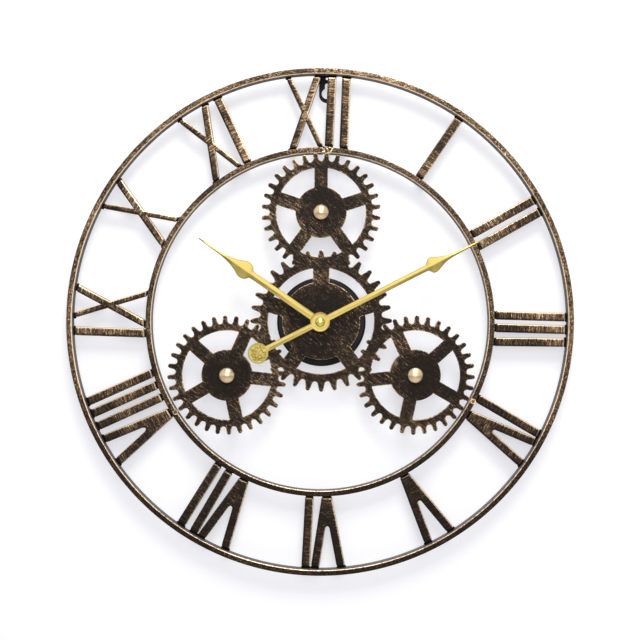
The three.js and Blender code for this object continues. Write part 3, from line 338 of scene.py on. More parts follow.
def bronzed_iron(
    name, strokes, rub, edge_lift, edge_width, foot_shade=0.15, contrast=1.0, patches=0.45, painted_light_lean=0.12,
    inner_lift=0.0, wide_lift=0.0, wall_color_and_reflection=IRON_DARK,
):
    """Brown-black iron with bronze brushed on from the front. strokes gives the place in the brush marks'
    pattern and rub is how much bronze the flats hold on the dial's upper half, less by foot_shade at its
    foot, which is painted shade. Where the mesh keeps edge_distance, the bronze grows by edge_lift within
    edge_width millimetres of the edges and by wide_lift in a wider band. Where it doesn't, edge_width is
    nought and the bronze grows by edge_lift on slanting faces. Faces that look up and to the right gain
    painted_light_lean and those that look away from there lose as much, which is painted light and shade.
    Arrises towards the dial's middle gain inner_lift. Side walls take wall_color_and_reflection, which
    on the rings is a painted reflection of the white wall."""
    material, tree = blank_material(name)
    place = object_place(tree)
    marks = grain(tree, strokes(tree), detail=3.0, rough=0.7)
    speckle = grain(tree, place, 1000.0, detail=1.5, rough=0.6)
    cloud = grain(tree, place, 18.0, detail=3.0, rough=0.6)
    normal = add(tree, "ShaderNodeTexCoord").outputs["Normal"]
    rearward = add(tree, "ShaderNodeSeparateXYZ", {0: normal}).outputs["Y"]
    square = worked(tree, "ABSOLUTE", rearward)
    toward_light = facing(tree, normal, PAINTED_LIGHT_FROM)
    high = add(tree, "ShaderNodeSeparateXYZ", {0: dial_place(tree)}).outputs["Z"]

    stroked = worked(tree, "MULTIPLY", marks, MARKS_SHARE)
    speckled = worked(tree, "MULTIPLY", speckle, 1 - MARKS_SHARE)
    wear = about_nought(tree, worked(tree, "ADD", stroked, speckled), contrast)
    patch = about_nought(tree, cloud, patches)
    # Painted shade: the flats hold less bronze, and so look darker, towards the dial's foot
    level = ramp(tree, high, *PAINTED_SHADE_HEIGHTS, rub - foot_shade, rub)
    wear = worked(tree, "ADD", wear, worked(tree, "ADD", patch, level))
    if edge_width:
        distance = add(tree, "ShaderNodeAttribute", attribute_name="edge_distance").outputs["Fac"]
        edge = ramp(tree, distance, edge_width / 2, edge_width, 1.0, 0.0)
    else:
        edge = ramp(tree, square, *ARRIS_SQUARE, 1.0, 0.0)
    rubbed = worked(tree, "ADD", wear, worked(tree, "MULTIPLY", edge, edge_lift))
    if wide_lift:
        rubbed = worked(tree, "ADD", rubbed, ramp(tree, distance, *WIDE_BAND, wide_lift, 0.0))
    # Painted light and shade: faces that look up and to the right gain bronze and those that look away lose
    # it
    painted_light = ramp(tree, toward_light, -LEAN_LIMIT, LEAN_LIMIT, -painted_light_lean, painted_light_lean)
    rubbed = worked(tree, "ADD", rubbed, painted_light)
    rubbed = worked(tree, "SUBTRACT", rubbed, ramp(tree, rearward, *REARWARD, 0.0, REARWARD_LOSS))
    if inner_lift:
        inward = worked(tree, "MULTIPLY", inward_arris(tree, normal), inner_lift)
        rubbed = worked(tree, "ADD", rubbed, inward)

    bronze_share = ramp(tree, rubbed, *BRONZE_WEAR)
    wall_share = ramp(tree, square, *WALL_SQUARE, 1.0, 0.0)
    color = blended(tree, ramp(tree, rubbed, *BROWN_WEAR), IRON_DARK, IRON_BROWN)
    color = blended(tree, bronze_share, color, BRONZE)
    color = blended(tree, ramp(tree, rubbed, *LIGHT_WEAR), color, BRONZE_LIGHT)
    color = blended(tree, worked(tree, "MULTIPLY", wall_share, WALL_COVER), color, wall_color_and_reflection)
    bare = worked(tree, "SUBTRACT", 1.0, wall_share)
    metal = worked(tree, "MULTIPLY", bronze_share, bare)
    shader = add(tree, "ShaderNodeBsdfPrincipled", {
        "Base Color": color,
        "Metallic": worked(tree, "MULTIPLY", metal, METAL_COVER),
        "Roughness": ramp(tree, rubbed, *SMOOTH_WEAR, *SMOOTH_ROUGHNESS),
        "Normal": bumped(tree, 0.4, 0.0003, wear),
        "Specular IOR Level": 0.08,
    })
    surface(tree, shader.outputs[0])
    return material


def geometry_tree(name, inputs):
    """An empty Geometry Nodes tree with those named inputs, what its input node gives, and its inputs'
    identifiers."""
    tree = bpy.data.node_groups.new(name, "GeometryNodeTree")
    named = {}
    for label, kind in {"Geometry": "Geometry", **inputs}.items():
        socket = tree.interface.new_socket(label, in_out="INPUT", socket_type=f"NodeSocket{kind}")
        named[label] = socket.identifier
    tree.interface.new_socket("Geometry", in_out="OUTPUT", socket_type="NodeSocketGeometry")
    return tree, tree.nodes.new("NodeGroupInput").outputs, named


def shifted(tree, geometry, shift):
    inputs = {"Geometry": geometry, "Translation": shift}
    return add(tree, "GeometryNodeTransform", inputs).outputs[0]


def end_tree(tree, geometry, material):
    """Ends the tree in that geometry, its instances realized, in that material."""
    real = add(tree, "GeometryNodeRealizeInstances", {"Geometry": geometry}).outputs[0]
    painted = add(tree, "GeometryNodeSetMaterial", {"Geometry": real, "Material": material}).outputs[0]
    put(tree, tree.nodes.new("NodeGroupOutput").inputs[0], painted)


def settled(name, mesh, sharp_degrees=32):
    """A new object of that mesh, taken to the wall, smooth but for its edges sharper than that."""
    mesh.transform(on_wall)
    mesh.name = name
    mesh.shade_smooth()
    mesh.set_sharp_from_angle(angle=math.radians(sharp_degrees))
    made = bpy.data.objects.new(name, mesh)
    bpy.context.scene.collection.objects.link(made)
    return made


def faces_out(mesh, merge=0.0005):
    """The mesh without doubles and loose corners, its faces pointing out."""
    work = bmesh.new()
    work.from_mesh(mesh)
    bmesh.ops.remove_doubles(work, verts=work.verts, dist=merge)
    bmesh.ops.delete(work, geom=[vert for vert in work.verts if not vert.link_faces], context="VERTS")
    bmesh.ops.recalc_face_normals(work, faces=work.faces)
    work.to_mesh(mesh)
    work.free()
    return mesh


def applied(mesh, change):
    """The mesh after the modifiers that change adds to an object of it."""
    start = bpy.data.objects.new("start", mesh)
    bpy.context.scene.collection.objects.link(start)
    change(start)
    bpy.context.view_layer.update()
    done = bpy.data.meshes.new_from_object(start.evaluated_get(bpy.context.evaluated_depsgraph_get()))
    bpy.data.objects.remove(start)
    return done


def grown(name, tree, named, values, seed=None, sharp_degrees=32):
    """The plain mesh object that a Geometry Nodes tree makes of those values, on the seed mesh if any."""
    def grow(start):
        modifier = start.modifiers.new("grow", "NODES")
        modifier.node_group = tree
        for label, value in values.items():
            modifier[named[label]] = value
    mesh = applied(seed or bpy.data.meshes.new(f"{name}_seed"), grow)
    return settled(name, faces_out(mesh), sharp_degrees)


def fitted(piece, body, slot, *nodes):
    """Fits the piece to the body, in the place of those CAD nodes. slot, a material slot of the record, is
    not used.
    """
    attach(piece, body)
    if nodes:
        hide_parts(*nodes)


RING_REACH = (ring_high.x - ring_low.x) / 2
# The rings' iron: faces that look up and to the right are a little lighter and the dial's foot darker,
# painted light and shade, and the side walls take a grey that is a painted reflection of the white wall
ring_finish = {
    ring: bronzed_iron(
        f"{ring}_iron", lambda tree: round_the_dial(tree, 800.0, 330.0), rub, edge_lift=0.05, edge_width=0,
        contrast=1.35, patches=0.3, painted_light_lean=0.04, inner_lift=0.3, wall_color_and_reflection=RING_WALL_REFLECTION,
    )
    for ring, rub in (("outer_ring", 0.05), ("inner_ring", 0.0))
}
tube_tree, given, named = geometry_tree("rolled_tube", {
    "Middle Radius": "Float", "Tube Width": "Float", "Tube Depth": "Float", "Arris": "Float",
    "Arris Steps": "Int", "Steps Round": "Int", "Height": "Float", "Start": "Float", "Sweep": "Float",
    "Material": "Material",
})
bend = add(tube_tree, "GeometryNodeCurveArc", {
    "Resolution": given["Steps Round"], "Radius": given["Middle Radius"], "Start Angle": given["Start"],
    "Sweep Angle": given["Sweep"],
}, mode="RADIUS")
section = add(tube_tree, "GeometryNodeCurvePrimitiveQuadrilateral", {
    "Width": given["Tube Width"], "Height": given["Tube Depth"],
})
rounded = add(tube_tree, "GeometryNodeFilletCurve", {
    "Curve": section.outputs[0], "Count": given["Arris Steps"], "Radius": given["Arris"],
}, mode="POLY")
tube = add(tube_tree, "GeometryNodeCurveToMesh", {
    "Curve": bend.outputs[0], "Profile Curve": rounded.outputs[0], "Fill Caps": True,
})
lift = add(tube_tree, "ShaderNodeCombineXYZ", {"Z": given["Height"]}).outputs[0]
end_tree(tube_tree, shifted(tube_tree, tube.outputs[0], lift), given["Material"])

for node in ("outer_ring", "inner_ring"):
    low, high = (on_wall.inverted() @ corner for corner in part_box(node))
    middle_radius = (high.x - low.x - RING_WIDTH) / 2
    joint = math.pi / 2 - math.radians(JOINT_CLOCK_DEGREES)
    half_gap = JOINT_GAP / 2 / middle_radius
    tube_sizes = {
        "Middle Radius": middle_radius,
        "Tube Width": RING_WIDTH,
        "Tube Depth": abs(high.z - low.z),
        "Arris": RING_ARRIS,
        "Arris Steps": ARRIS_STEPS,
        "Steps Round": ROUND_THE_RING,
        "Height": (high.z + low.z) / 2,
        "Start": joint + half_gap,
        "Sweep": math.tau - 2 * half_gap,
        "Material": ring_finish[node],
    }
    fitted(grown(f"{node}_tube", tube_tree, named, tube_sizes), "clock_frame", "bronzed_iron", node)
    tube_sizes.update({
        "Tube Width": RING_WIDTH - 2 * JOINT_DROP,
        "Tube Depth": abs(high.z - low.z) - 2 * JOINT_DROP,
        "Arris": RING_ARRIS / 2,
        "Steps Round": JOINT_STEPS,
        "Start": joint - JOINT_REACH * half_gap,
        "Sweep": 2 * JOINT_REACH * half_gap,
    })
    fitted(grown(f"{node}_joint_weld", tube_tree, named, tube_sizes), "clock_frame", "bronzed_iron")

# The numerals: strokes pressed from sheet steel with rounded shoulders, open behind, set by hand
# between the rings, so that each hour's strokes lean a little in their own way. The bronze sits on
# their shoulders and in marks across the stroke.
BAR_WIDTH = 10.4
VEE_ARM_WIDTH = 10.0
VEE_WEB_WIDTH = 9.4
CROSS_THICK_WIDTH = 8.4
CROSS_THIN_WIDTH = 6.2
NUMERAL_REAR = 10.6
NUMERAL_FRONT = 17.6
PRESSED_WALL = 0.8
FOOT_RADIUS = 206.6
HEAD_RADIUS = 292.7
END_GAP = 2.3
STROKE_CORNER = 1.9
VEE_FOOT_SPREAD = 1.6
VEE_NOTCH_REACH = 38.0
VEE_NOTCH_RADIUS = 2.0
VEE_NOTCH_START = 0.1
# From the stroke's side inwards, how far its face lies below its full height
SHOULDER = ((0.0, 2.1), (0.2, 1.3), (0.55, 0.7), (1.1, 0.27), (1.8, 0.05), (2.5, 0.0))
HOLLOW_STEP = 0.15
# For the mesh: the sheet's least thickness, the distance at which corners are one, the spacing of the
# samples that distances are measured from, and how much a sharp corner's inset may be lengthened
THINNEST_SHEET = 0.05
CORNER_MERGE = 1e-4
SAMPLE_SPACING = 0.15
SHARPEST_INSET = 0.5

# Feet and heads of the strokes, in millimetres clockwise of their hour's line
NUMERALS = {
    1: {"bars": [(16, 22.5)]},
    2: {"bars": [(0, 1.5), (16.5, 17.5)]},
    3: {"bars": [(-8, -5.5), (7, 9.5), (23.5, 24.5)]},
    4: {"bars": [(-15, -14.5)], "vee": (7.5, -3.8, 26)},
    5: {"vee": (4.5, -11, 19.5)},
    6: {"bars": [(12.5, 17.2)], "vee": (-8, -25, 6.2)},
    7: {"bars": [(5, 5.5), (20, 23)], "vee": (-15.5, -37, -5.3)},
    8: {"bars": [(16.5, 25), (32, 41), (47, 56)], "vee": (-4.5, -24, 8)},
    9: {"bars": [(-13.5, -10.5)], "cross": ((-3, 41.5), (34.5, 8))},
    10: {"cross": ((-13.5, 25.5), (21.5, -9.5))},
    11: {"bars": [(20, 27.5)], "cross": ((-23.5, 10.5), (10.3, -24.5))},
    12: {"bars": [(10.5, 14.5), (28, 31.5)], "cross": ((-33, -2.5), (1.5, -37.5))},
}


def polar(radius, angle, centre=(0.0, 0.0)):
    """The place at that radius and angle from the centre."""
    return Vector((centre[0] + radius * math.cos(angle), centre[1] + radius * math.sin(angle)))


def arc(radius, start, end, steps, centre=(0.0, 0.0)):
    """The corners of an arc, with those of both its ends."""
    return [polar(radius, start + (end - start) * i / steps, centre) for i in range(steps + 1)]


def circle(radius, steps, centre=(0.0, 0.0)):
    return arc(radius, 0.0, math.tau, steps, centre)[:-1]


def clock_turned(loop, degrees, place=(0.0, 0.0)):
    """The loop turned clockwise about the origin, then moved to the place."""
    turn = Matrix.Rotation(-math.radians(degrees), 2)
    return [turn @ Vector(corner[:2]) + Vector(place) for corner in loop]


def within(points, loop):
    """Which of the points lie inside the closed loop."""
    x, y = points[:, 0, None], points[:, 1, None]
    start = np.array([corner[:] for corner in loop])
    end = np.roll(start, -1, axis=0)
    crosses = (start[:, 1] > y) != (end[:, 1] > y)
    rise = np.where(start[:, 1] == end[:, 1], 1.0, end[:, 1] - start[:, 1])
    meets = start[:, 0] + (y - start[:, 1]) * (end[:, 0] - start[:, 0]) / rise
    return (crosses & (x < meets)).sum(axis=1) % 2 == 1


def filled(shapes, loops, lines=()):
    """Corners and triangles that fill every shape but its holes. The loops and lines are edges in them."""
    corners, edges = [], []
    for line in [[*loop, None] for loop in loops] + [list(line) for line in lines]:
        closed = line[-1] is None
        points = line[:-1] if closed else line
        first = len(corners)
        corners += [Vector(point[:2]) for point in points]
        edges += [(first + i, first + i + 1) for i in range(len(points) - 1)]
        if closed:
            edges.append((first + len(points) - 1, first))
    done = delaunay_2d_cdt(corners, edges, [], 0, CORNER_MERGE)
    places = np.array([corner[:] for corner in done[0]])
    triangles = np.array(done[2])
    middles = places[triangles].mean(axis=1)
    kept = np.zeros(len(triangles), dtype=bool)
    for outline, holes in shapes:
        inside = within(middles, outline)
        for hole in holes:
            inside &= ~within(middles, hole)
        kept |= inside
    return places, triangles[kept]


def rims(triangles):
    """The loops of corners round the triangles, which lie on each loop's left."""
    sides = {(corners[i], corners[(i + 1) % 3]) for corners in triangles.tolist() for i in range(3)}
    following = {start: end for start, end in sides if (end, start) not in sides}
    loops = []
    while following:
        loop = [min(following)]
        while loop[-1] in following:
            loop.append(following.pop(loop[-1]))
        loops.append(loop[:-1])
    return loops


def inset(loop, distance):
    """The loop moved to its left by that distance."""
    line = np.array([corner[:] for corner in loop])
    ahead = np.roll(line, -1, axis=0) - line
    ahead /= np.linalg.norm(ahead, axis=1, keepdims=True)
    left = np.stack((-ahead[:, 1], ahead[:, 0]), axis=1)
    turn = left + np.roll(left, 1, axis=0)
    turn /= np.linalg.norm(turn, axis=1, keepdims=True)
    stretch = np.clip((turn * left).sum(axis=1, keepdims=True), SHARPEST_INSET, 1.0)
    return line + turn * distance / stretch


def distance_from(outlines, places):
    """How far each place is from the nearest of the outlines."""
    samples = []
    for outline in outlines:
        for start, end in zip(outline, np.roll(outline, -1, axis=0)):
            count = max(1, math.ceil(np.linalg.norm(end - start) / SAMPLE_SPACING))
            samples += [start + (end - start) * i / count for i in range(count)]
    tree = KDTree(len(samples))
    for number, sample in enumerate(samples):
        tree.insert((*sample, 0), number)
    tree.balance()
    return np.array([tree.find((*place[:2], 0))[2] for place in places])


def sheet_metal(shapes, face, shoulder, back, lines=()):
    """A mesh of sheet metal in those shapes, each an outline and its holes. Its front is as high as face
    says of a place, less the shoulder's drop, and its back as high as back says, both by the distance
    from the cut edge. Each corner keeps that distance as edge_distance."""
    places, triangles = filled(shapes, [loop for outline, holes in shapes for loop in (outline, *holes)])
    outlines = [places[loop] for loop in rims(triangles)]
    steps = sorted({distance for distance, height in (*shoulder, *back) if distance > 0})
    insets = [inset(outline, step) for outline in outlines for step in steps]
    places, triangles = filled(shapes, [*outlines, *insets], lines)
    distance = distance_from(outlines, places)
    front = np.array([face(*place) for place in places]) - np.interp(distance, *zip(*shoulder))
    rear = np.minimum(np.interp(distance, *zip(*back)), front - THINNEST_SHEET)
    count = len(places)
    corners = np.concatenate((np.column_stack((places, front)), np.column_stack((places, rear))))
    faces = triangles.tolist() + (triangles[:, ::-1] + count).tolist()
    for rim in rims(triangles):
        faces += [(start, start + count, end + count, end) for start, end in zip(rim, rim[1:] + rim[:1])]
    mesh = bpy.data.meshes.new("sheet_metal")
    mesh.from_pydata(corners.tolist(), [], faces)
    kept = mesh.attributes.new("edge_distance", "FLOAT", "POINT")
    kept.data.foreach_set("value", np.concatenate((distance, distance)).astype(np.float32))
    return faces_out(mesh)


def on_circle(start, along, radius):
    """Where a line from start, inside the circle about the dial's middle, leaves that circle."""
    middle = start.dot(along)
    return start + along * (math.sqrt(radius ** 2 - start.length_squared + middle ** 2) - middle)


def stroke_ends(foot, head):
    """Where a stroke of an hour at the dial's top starts and ends, on the two rings."""
    start = Vector((foot, math.sqrt(FOOT_RADIUS ** 2 - foot ** 2)))
    end = Vector((head, math.sqrt(HEAD_RADIUS ** 2 - head ** 2)))
    return start, end


def rounded_corners(corners, radius, steps=5):
    """An anticlockwise outline with its corners cut by arcs."""
    done = []
    for before, corner, after in zip([corners[-1], *corners], corners, [*corners[1:], corners[0]]):
        back, ahead = (before - corner).normalized(), (after - corner).normalized()
        half = back.angle(ahead) / 2
        middle = corner + (back + ahead).normalized() * radius / math.sin(half)
        first = corner + back * radius / math.tan(half) - middle
        turn = math.pi - 2 * half
        start = math.atan2(first.y, first.x)
        done += arc(radius, start, start + turn, steps, middle)
    return done


def stroke(foot, head, width, reach=HEAD_RADIUS - END_GAP):
    """The outline of a straight stroke, its ends cut to lie along the rings."""
    start, end = stroke_ends(foot, head)
    along = (end - start).normalized()
    across = Vector((along.y, -along.x)) * width / 2
    right, left = start + across - along * BAR_WIDTH, start - across - along * BAR_WIDTH
    corners = [on_circle(right, along, FOOT_RADIUS + END_GAP), on_circle(right, along, reach)]
    corners += [on_circle(left, along, reach), on_circle(left, along, FOOT_RADIUS + END_GAP)]
    return rounded_corners(corners, STROKE_CORNER)


def numeral_shapes(hour, bars=(), vee=None, cross=None):
    """The name and the sheet shapes of each piece of one hour's numeral, and its strokes' ends."""
    for number, places in enumerate(bars, start=1):
        yield f"numeral_{hour}_bar_{number}", [(stroke(*places, BAR_WIDTH), [])], [(*places, BAR_WIDTH)]
    if vee:
        foot, left, right = vee
        arms = [(foot - VEE_FOOT_SPREAD / 2, left), (foot + VEE_FOOT_SPREAD / 2, right)]
        middle = (foot, (left + right) / 2)
        reach = FOOT_RADIUS + VEE_NOTCH_REACH
        start, end = stroke_ends(*middle)
        within_dial = start - (end - start) * VEE_NOTCH_START
        notch = on_circle(within_dial, (end - start).normalized(), reach)
        web = (stroke(*middle, VEE_WEB_WIDTH, reach), [circle(VEE_NOTCH_RADIUS, 24, notch)])
        yield (
            f"numeral_{hour}_vee",
            [(stroke(*arm, VEE_ARM_WIDTH), []) for arm in arms] + [web],
            [(*arm, VEE_ARM_WIDTH) for arm in arms],
        )
    if cross:
        thick, thin = cross
        yield (
            f"numeral_{hour}_cross",
            [(stroke(*thick, CROSS_THICK_WIDTH), []), (stroke(*thin, CROSS_THIN_WIDTH), [])],
            [(*thick, CROSS_THICK_WIDTH), (*thin, CROSS_THIN_WIDTH)],
        )


# The numerals' iron: shoulders that look up and to the right are lighter and those that look away darker,
# and the lower numerals darker, which is painted light and shade
numeral_iron = bronzed_iron(
    "numeral_iron", lambda tree: round_the_dial(tree, 1000.0, 100.0), 0.015, edge_lift=0.2, edge_width=1.5,
    foot_shade=0.12, contrast=1.5, painted_light_lean=0.22,
)
inner_face = NUMERAL_FRONT - PRESSED_WALL
hollow_back = [(0.0, NUMERAL_REAR), (PRESSED_WALL, NUMERAL_REAR)]
hollow_back += [
    (distance + PRESSED_WALL + HOLLOW_STEP, inner_face - drop) for distance, drop in SHOULDER[1::2]
]
stroke_feet = []
for hour, pieces in NUMERALS.items():
    for node, shapes, ends in numeral_shapes(hour, **pieces):
        in_place = [
            (clock_turned(outline, 30 * hour), [clock_turned(hole, 30 * hour) for hole in holes])
            for outline, holes in shapes
        ]
        mesh = sheet_metal(in_place, lambda x, y: NUMERAL_FRONT, SHOULDER, hollow_back)
        mesh.materials.append(numeral_iron)
        fitted(settled(f"{node}_pressing", mesh), "clock_frame", "bronzed_iron", node)
        stroke_feet += [(hour, *end) for end in ends]

# The numerals' welds: at each end of each stroke a short steel stub, unbrushed, joins the hollow of the
# stroke to the ring, with a bead of weld on either side of it behind. Stubs and beads are near black,
# deeper than the frame's paint, which is partly painted shade of the gaps where they sit.
STUB_INSET = 1.2
STUB_LENGTH = 3.8
STUB_START = -0.25
STUB_FRONT = 15.2
STUB_REAR = 11.2
BEAD_RADIUS = 1.5
BEAD_GROWTH = (0.7, 1.2)
BEAD_LUMPS = 0.5
BEAD_SEED = 4
# Near black: the unbrushed paint, made blacker as painted shade of the gaps at the strokes' ends
STUB_BLACK_AND_SHADE = (0.007, 0.0066, 0.0066)
# Between these lies nearly all of a noise
NOISE_SPAN = (0.3, 0.7)


def toned(tree, color, tone):
    """The colour, lighter or darker by the tone."""
    return add(tree, "ShaderNodeVectorMath", {0: color, 1: tone}, operation="MULTIPLY").outputs[0]


def painted(name, color, rough, grain_scale, bump_strength, coat=0.0, spread=0.25, gloss=0.5):
    """Paint or moulded plastic with a fine grain and small changes of tone and gloss."""
    material, tree = blank_material(name)
    place = object_place(tree)
    fine = grain(tree, place, grain_scale, detail=3.0, rough=0.6)
    soft = grain(tree, place, 60.0)
    tone = ramp(tree, soft, *NOISE_SPAN, 1.0 - spread, 1.0 + spread)
    shader = add(tree, "ShaderNodeBsdfPrincipled", {
        "Base Color": toned(tree, color, tone),
        "Roughness": ramp(tree, soft, *NOISE_SPAN, rough * 0.85, rough * 1.2),
        "Normal": bumped(tree, bump_strength, 0.00015, fine),
        "Coat Weight": coat,
        "Specular IOR Level": gloss,
    })
    surface(tree, shader.outputs[0])
    return material


def seed_points(places, **attributes):
    """A mesh of bare points at those places, with a list of floats for each attribute."""
    mesh = bpy.data.meshes.new("seed_points")
    mesh.from_pydata([tuple(place) for place in places], [], [])
    for name, values in attributes.items():
        mesh.attributes.new(name, "FLOAT", "POINT").data.foreach_set("value", values)
    return mesh


def named_float(tree, name):
    return add(tree, "GeometryNodeInputNamedAttribute", {"Name": name}, data_type="FLOAT").outputs[0]


def random_number(tree, least, most, seed):
    inputs = {2: least, 3: most, 8: seed}
    return add(tree, "FunctionNodeRandomValue", inputs, data_type="FLOAT").outputs[1]


def round_drop(tree, radius):
    inputs = {"Radius": radius, "Subdivisions": 2}
    return add(tree, "GeometryNodeMeshIcoSphere", inputs).outputs[0]


# The welds' near black is partly painted shade
black_shaded_weld = painted("black_shaded_weld", STUB_BLACK_AND_SHADE, 0.6, 900.0, 0.5, gloss=0.05)
stub_tree, given, named = geometry_tree("weld_stubs", {
    "Length": "Float", "Depth": "Float", "Material": "Material",
})
stub_turn = {"Z": named_float(stub_tree, "turn")}
stub_size = {"X": named_float(stub_tree, "wide"), "Y": given["Length"], "Z": given["Depth"]}
stubs = add(stub_tree, "GeometryNodeInstanceOnPoints", {
    "Points": given["Geometry"],
    "Instance": add(stub_tree, "GeometryNodeMeshCube", {"Size": (1, 1, 1)}).outputs[0],
    "Rotation": add(stub_tree, "ShaderNodeCombineXYZ", stub_turn).outputs[0],
    "Scale": add(stub_tree, "ShaderNodeCombineXYZ", stub_size).outputs[0],
}).outputs[0]
end_tree(stub_tree, stubs, given["Material"])
stub_places, stub_turns, stub_widths, bead_places = [], [], [], []
for hour, foot, head, width in stroke_feet:
    start, end = clock_turned(stroke_ends(foot, head), 30 * hour)
    for ring_end, other in ((start, end), (end, start)):
        along = (other - ring_end).normalized()
        across = Vector((along.y, -along.x)) * (width - STUB_INSET) / 2
        middle = ring_end + along * (STUB_START + STUB_LENGTH / 2)
        stub_places.append((*middle, (STUB_FRONT + STUB_REAR) / 2))
        stub_turns.append(math.atan2(-along.x, along.y))
        stub_widths.append(width - STUB_INSET)
        bead_places += [(*(ring_end + side * across), STUB_REAR) for side in (1, -1)]
stubs = grown("numeral_stubs", stub_tree, named, {
    "Length": STUB_LENGTH, "Depth": STUB_FRONT - STUB_REAR, "Material": black_shaded_weld,
}, seed_points(stub_places, turn=stub_turns, wide=stub_widths))
fitted(stubs, "clock_frame", "bronzed_iron")

bead_tree, given, named = geometry_tree("weld_beads", {
    "Radius": "Float", "Least": "Float", "Most": "Float", "Lumps": "Float", "Seed": "Int",
    "Material": "Material",
})
beads = add(bead_tree, "GeometryNodeInstanceOnPoints", {
    "Points": given["Geometry"],
    "Instance": round_drop(bead_tree, given["Radius"]),
    "Scale": random_number(bead_tree, given["Least"], given["Most"], given["Seed"]),
}).outputs[0]
solid = add(bead_tree, "GeometryNodeRealizeInstances", {"Geometry": beads}).outputs[0]
lump = add(bead_tree, "ShaderNodeTexNoise", {"Scale": 0.9, "Detail": 1.0}).outputs["Fac"]
push = add(bead_tree, "ShaderNodeVectorMath", {
    0: add(bead_tree, "GeometryNodeInputNormal").outputs[0],
    3: about_nought(bead_tree, lump, given["Lumps"]),
}, operation="SCALE").outputs[0]
lumpy = add(bead_tree, "GeometryNodeSetPosition", {"Geometry": solid, "Offset": push}).outputs[0]
end_tree(bead_tree, lumpy, given["Material"])
beads = grown("numeral_weld_beads", bead_tree, named, {
    "Radius": BEAD_RADIUS, "Least": BEAD_GROWTH[0], "Most": BEAD_GROWTH[1], "Lumps": BEAD_LUMPS,
    "Seed": BEAD_SEED, "Material": black_shaded_weld,
}, seed_points(bead_places), 80)
fitted(beads, "clock_frame", "bronzed_iron")

# The gear plate: four gears in outline, laser cut from one sheet of steel, sprayed like the rings and
# dry brushed aslant, with its cut edges rubbed light. Three of its teeth are welded to the inner ring
# with lumpy tacks, and nothing on it turns.
PLATE_THICKNESS = 1.5
PLATE_FRONT = 22.8
PLATE_PLACE = Vector((1.2, 1.2))
PLATE_BORE = 5.6
BOSS_BORE = 2.65
TEETH = 32
SPOKES = 5
SMALL_TIP, SMALL_ROOT, SMALL_RIM, SMALL_HUB, SMALL_SPOKE = 70.4, 60.7, 52.7, 30.2, 15.8
LARGE_TIP, LARGE_ROOT, LARGE_RIM, LARGE_HUB, LARGE_SPOKE = 83.6, 71.8, 62.5, 46.0, 19.5
SMALL_GEAR_REACH = 128.0
SMALL_GEAR_ANGLES = (0, 120, 240)
TOP_MESH_FILLS = ((-23.4, 70.9), (23.4, 70.9))
TOP_MESH_FILL_RADIUS = 3.8
TOOTH_CROWN, CROWN_STEPS = 2.6, 9
GAP_FLOOR, FLOOR_STEPS = 3.2, 8
RIM_STEPS, HUB_STEPS = 30, 18
BRUSH_SLANT = math.radians(38)
HUB_CIRCLES = (11.0, 16.0, 21.0, 26.0, 32.0, 38.0)
SHEET_SHOULDER = ((0.0, 0.42), (0.15, 0.13), (0.42, 0.0), (1.1, 0.0), (2.2, 0.0))
BACK_ROUND, BACK_REACH = 0.25, 0.42


def flat_back(rear):
    """The back of a sheet whose cut edge is slightly round there."""
    return ((0.0, rear + BACK_ROUND), (BACK_REACH, rear))


def gear_outline(tip, root, tooth_at_top):
    """Teeth with round crowns and round gap floors, each flank straight between the two arcs."""
    half = math.pi / TEETH
    crown_reach = tip - TOOTH_CROWN
    floor_reach = root + GAP_FLOOR
    across = Vector((floor_reach * math.cos(half) - crown_reach, floor_reach * math.sin(half)))
    flank = math.atan2(across.y, across.x) - math.acos((TOOTH_CROWN + GAP_FLOOR) / across.length)
    outline = []
    for number in range(TEETH):
        middle = math.pi / 2 + half * (2 * number + (0 if tooth_at_top else 1))
        crown = polar(crown_reach, middle)
        floor = polar(floor_reach, middle + half)
        outline += arc(TOOTH_CROWN, middle - flank, middle + flank, CROWN_STEPS, crown)
        behind = middle + math.pi
        outline += arc(GAP_FLOOR, behind + flank, behind + 2 * half - flank, FLOOR_STEPS, floor)
    return outline


def gear_windows(rim, hub, spoke):
    """The openings between the spokes, which are as wide at the rim as at the hub."""
    windows = []
    for number in range(SPOKES):
        start = math.pi / 2 + math.tau * number / SPOKES
        end = start + math.tau / SPOKES
        rim_edge, hub_edge = (math.asin(spoke / 2 / radius) for radius in (rim, hub))
        outer_arc = arc(rim, start + rim_edge, end - rim_edge, RIM_STEPS)
        windows.append(outer_arc + arc(hub, end - hub_edge, start + hub_edge, HUB_STEPS))
    return windows


def brushed_aslant(tree):
    """A place in a pattern of marks that run from upper left to lower right."""
    slanted = {"Vector": object_place(tree), "Rotation": (0, -BRUSH_SLANT, 0)}
    place = add(tree, "ShaderNodeMapping", slanted).outputs[0]
    return add(tree, "ShaderNodeMapping", {"Vector": place, "Scale": (160.0, 500.0, 1600.0)}).outputs[0]


# The plate's iron: faces that look up and to the right are a little lighter, which is painted light
plate_iron = bronzed_iron(
    "plate_iron", brushed_aslant, -0.19, edge_lift=0.2, edge_width=1.2, foot_shade=0.0, contrast=2.2, patches=0.5,
    painted_light_lean=0.05, wide_lift=0.08,
)
large_gear = (
    gear_outline(LARGE_TIP, LARGE_ROOT, True),
    [*gear_windows(LARGE_RIM, LARGE_HUB, LARGE_SPOKE), circle(PLATE_BORE, 40)],
)
small_gear = (
    gear_outline(SMALL_TIP, SMALL_ROOT, False),
    [*gear_windows(SMALL_RIM, SMALL_HUB, SMALL_SPOKE), circle(BOSS_BORE, 24)],
)
gear_places = [
    PLATE_PLACE + polar(SMALL_GEAR_REACH, math.pi / 2 - math.radians(angle)) for angle in SMALL_GEAR_ANGLES
]
gears = [(large_gear, 0, PLATE_PLACE)]
gears += [(small_gear, angle, place) for angle, place in zip(SMALL_GEAR_ANGLES, gear_places)]
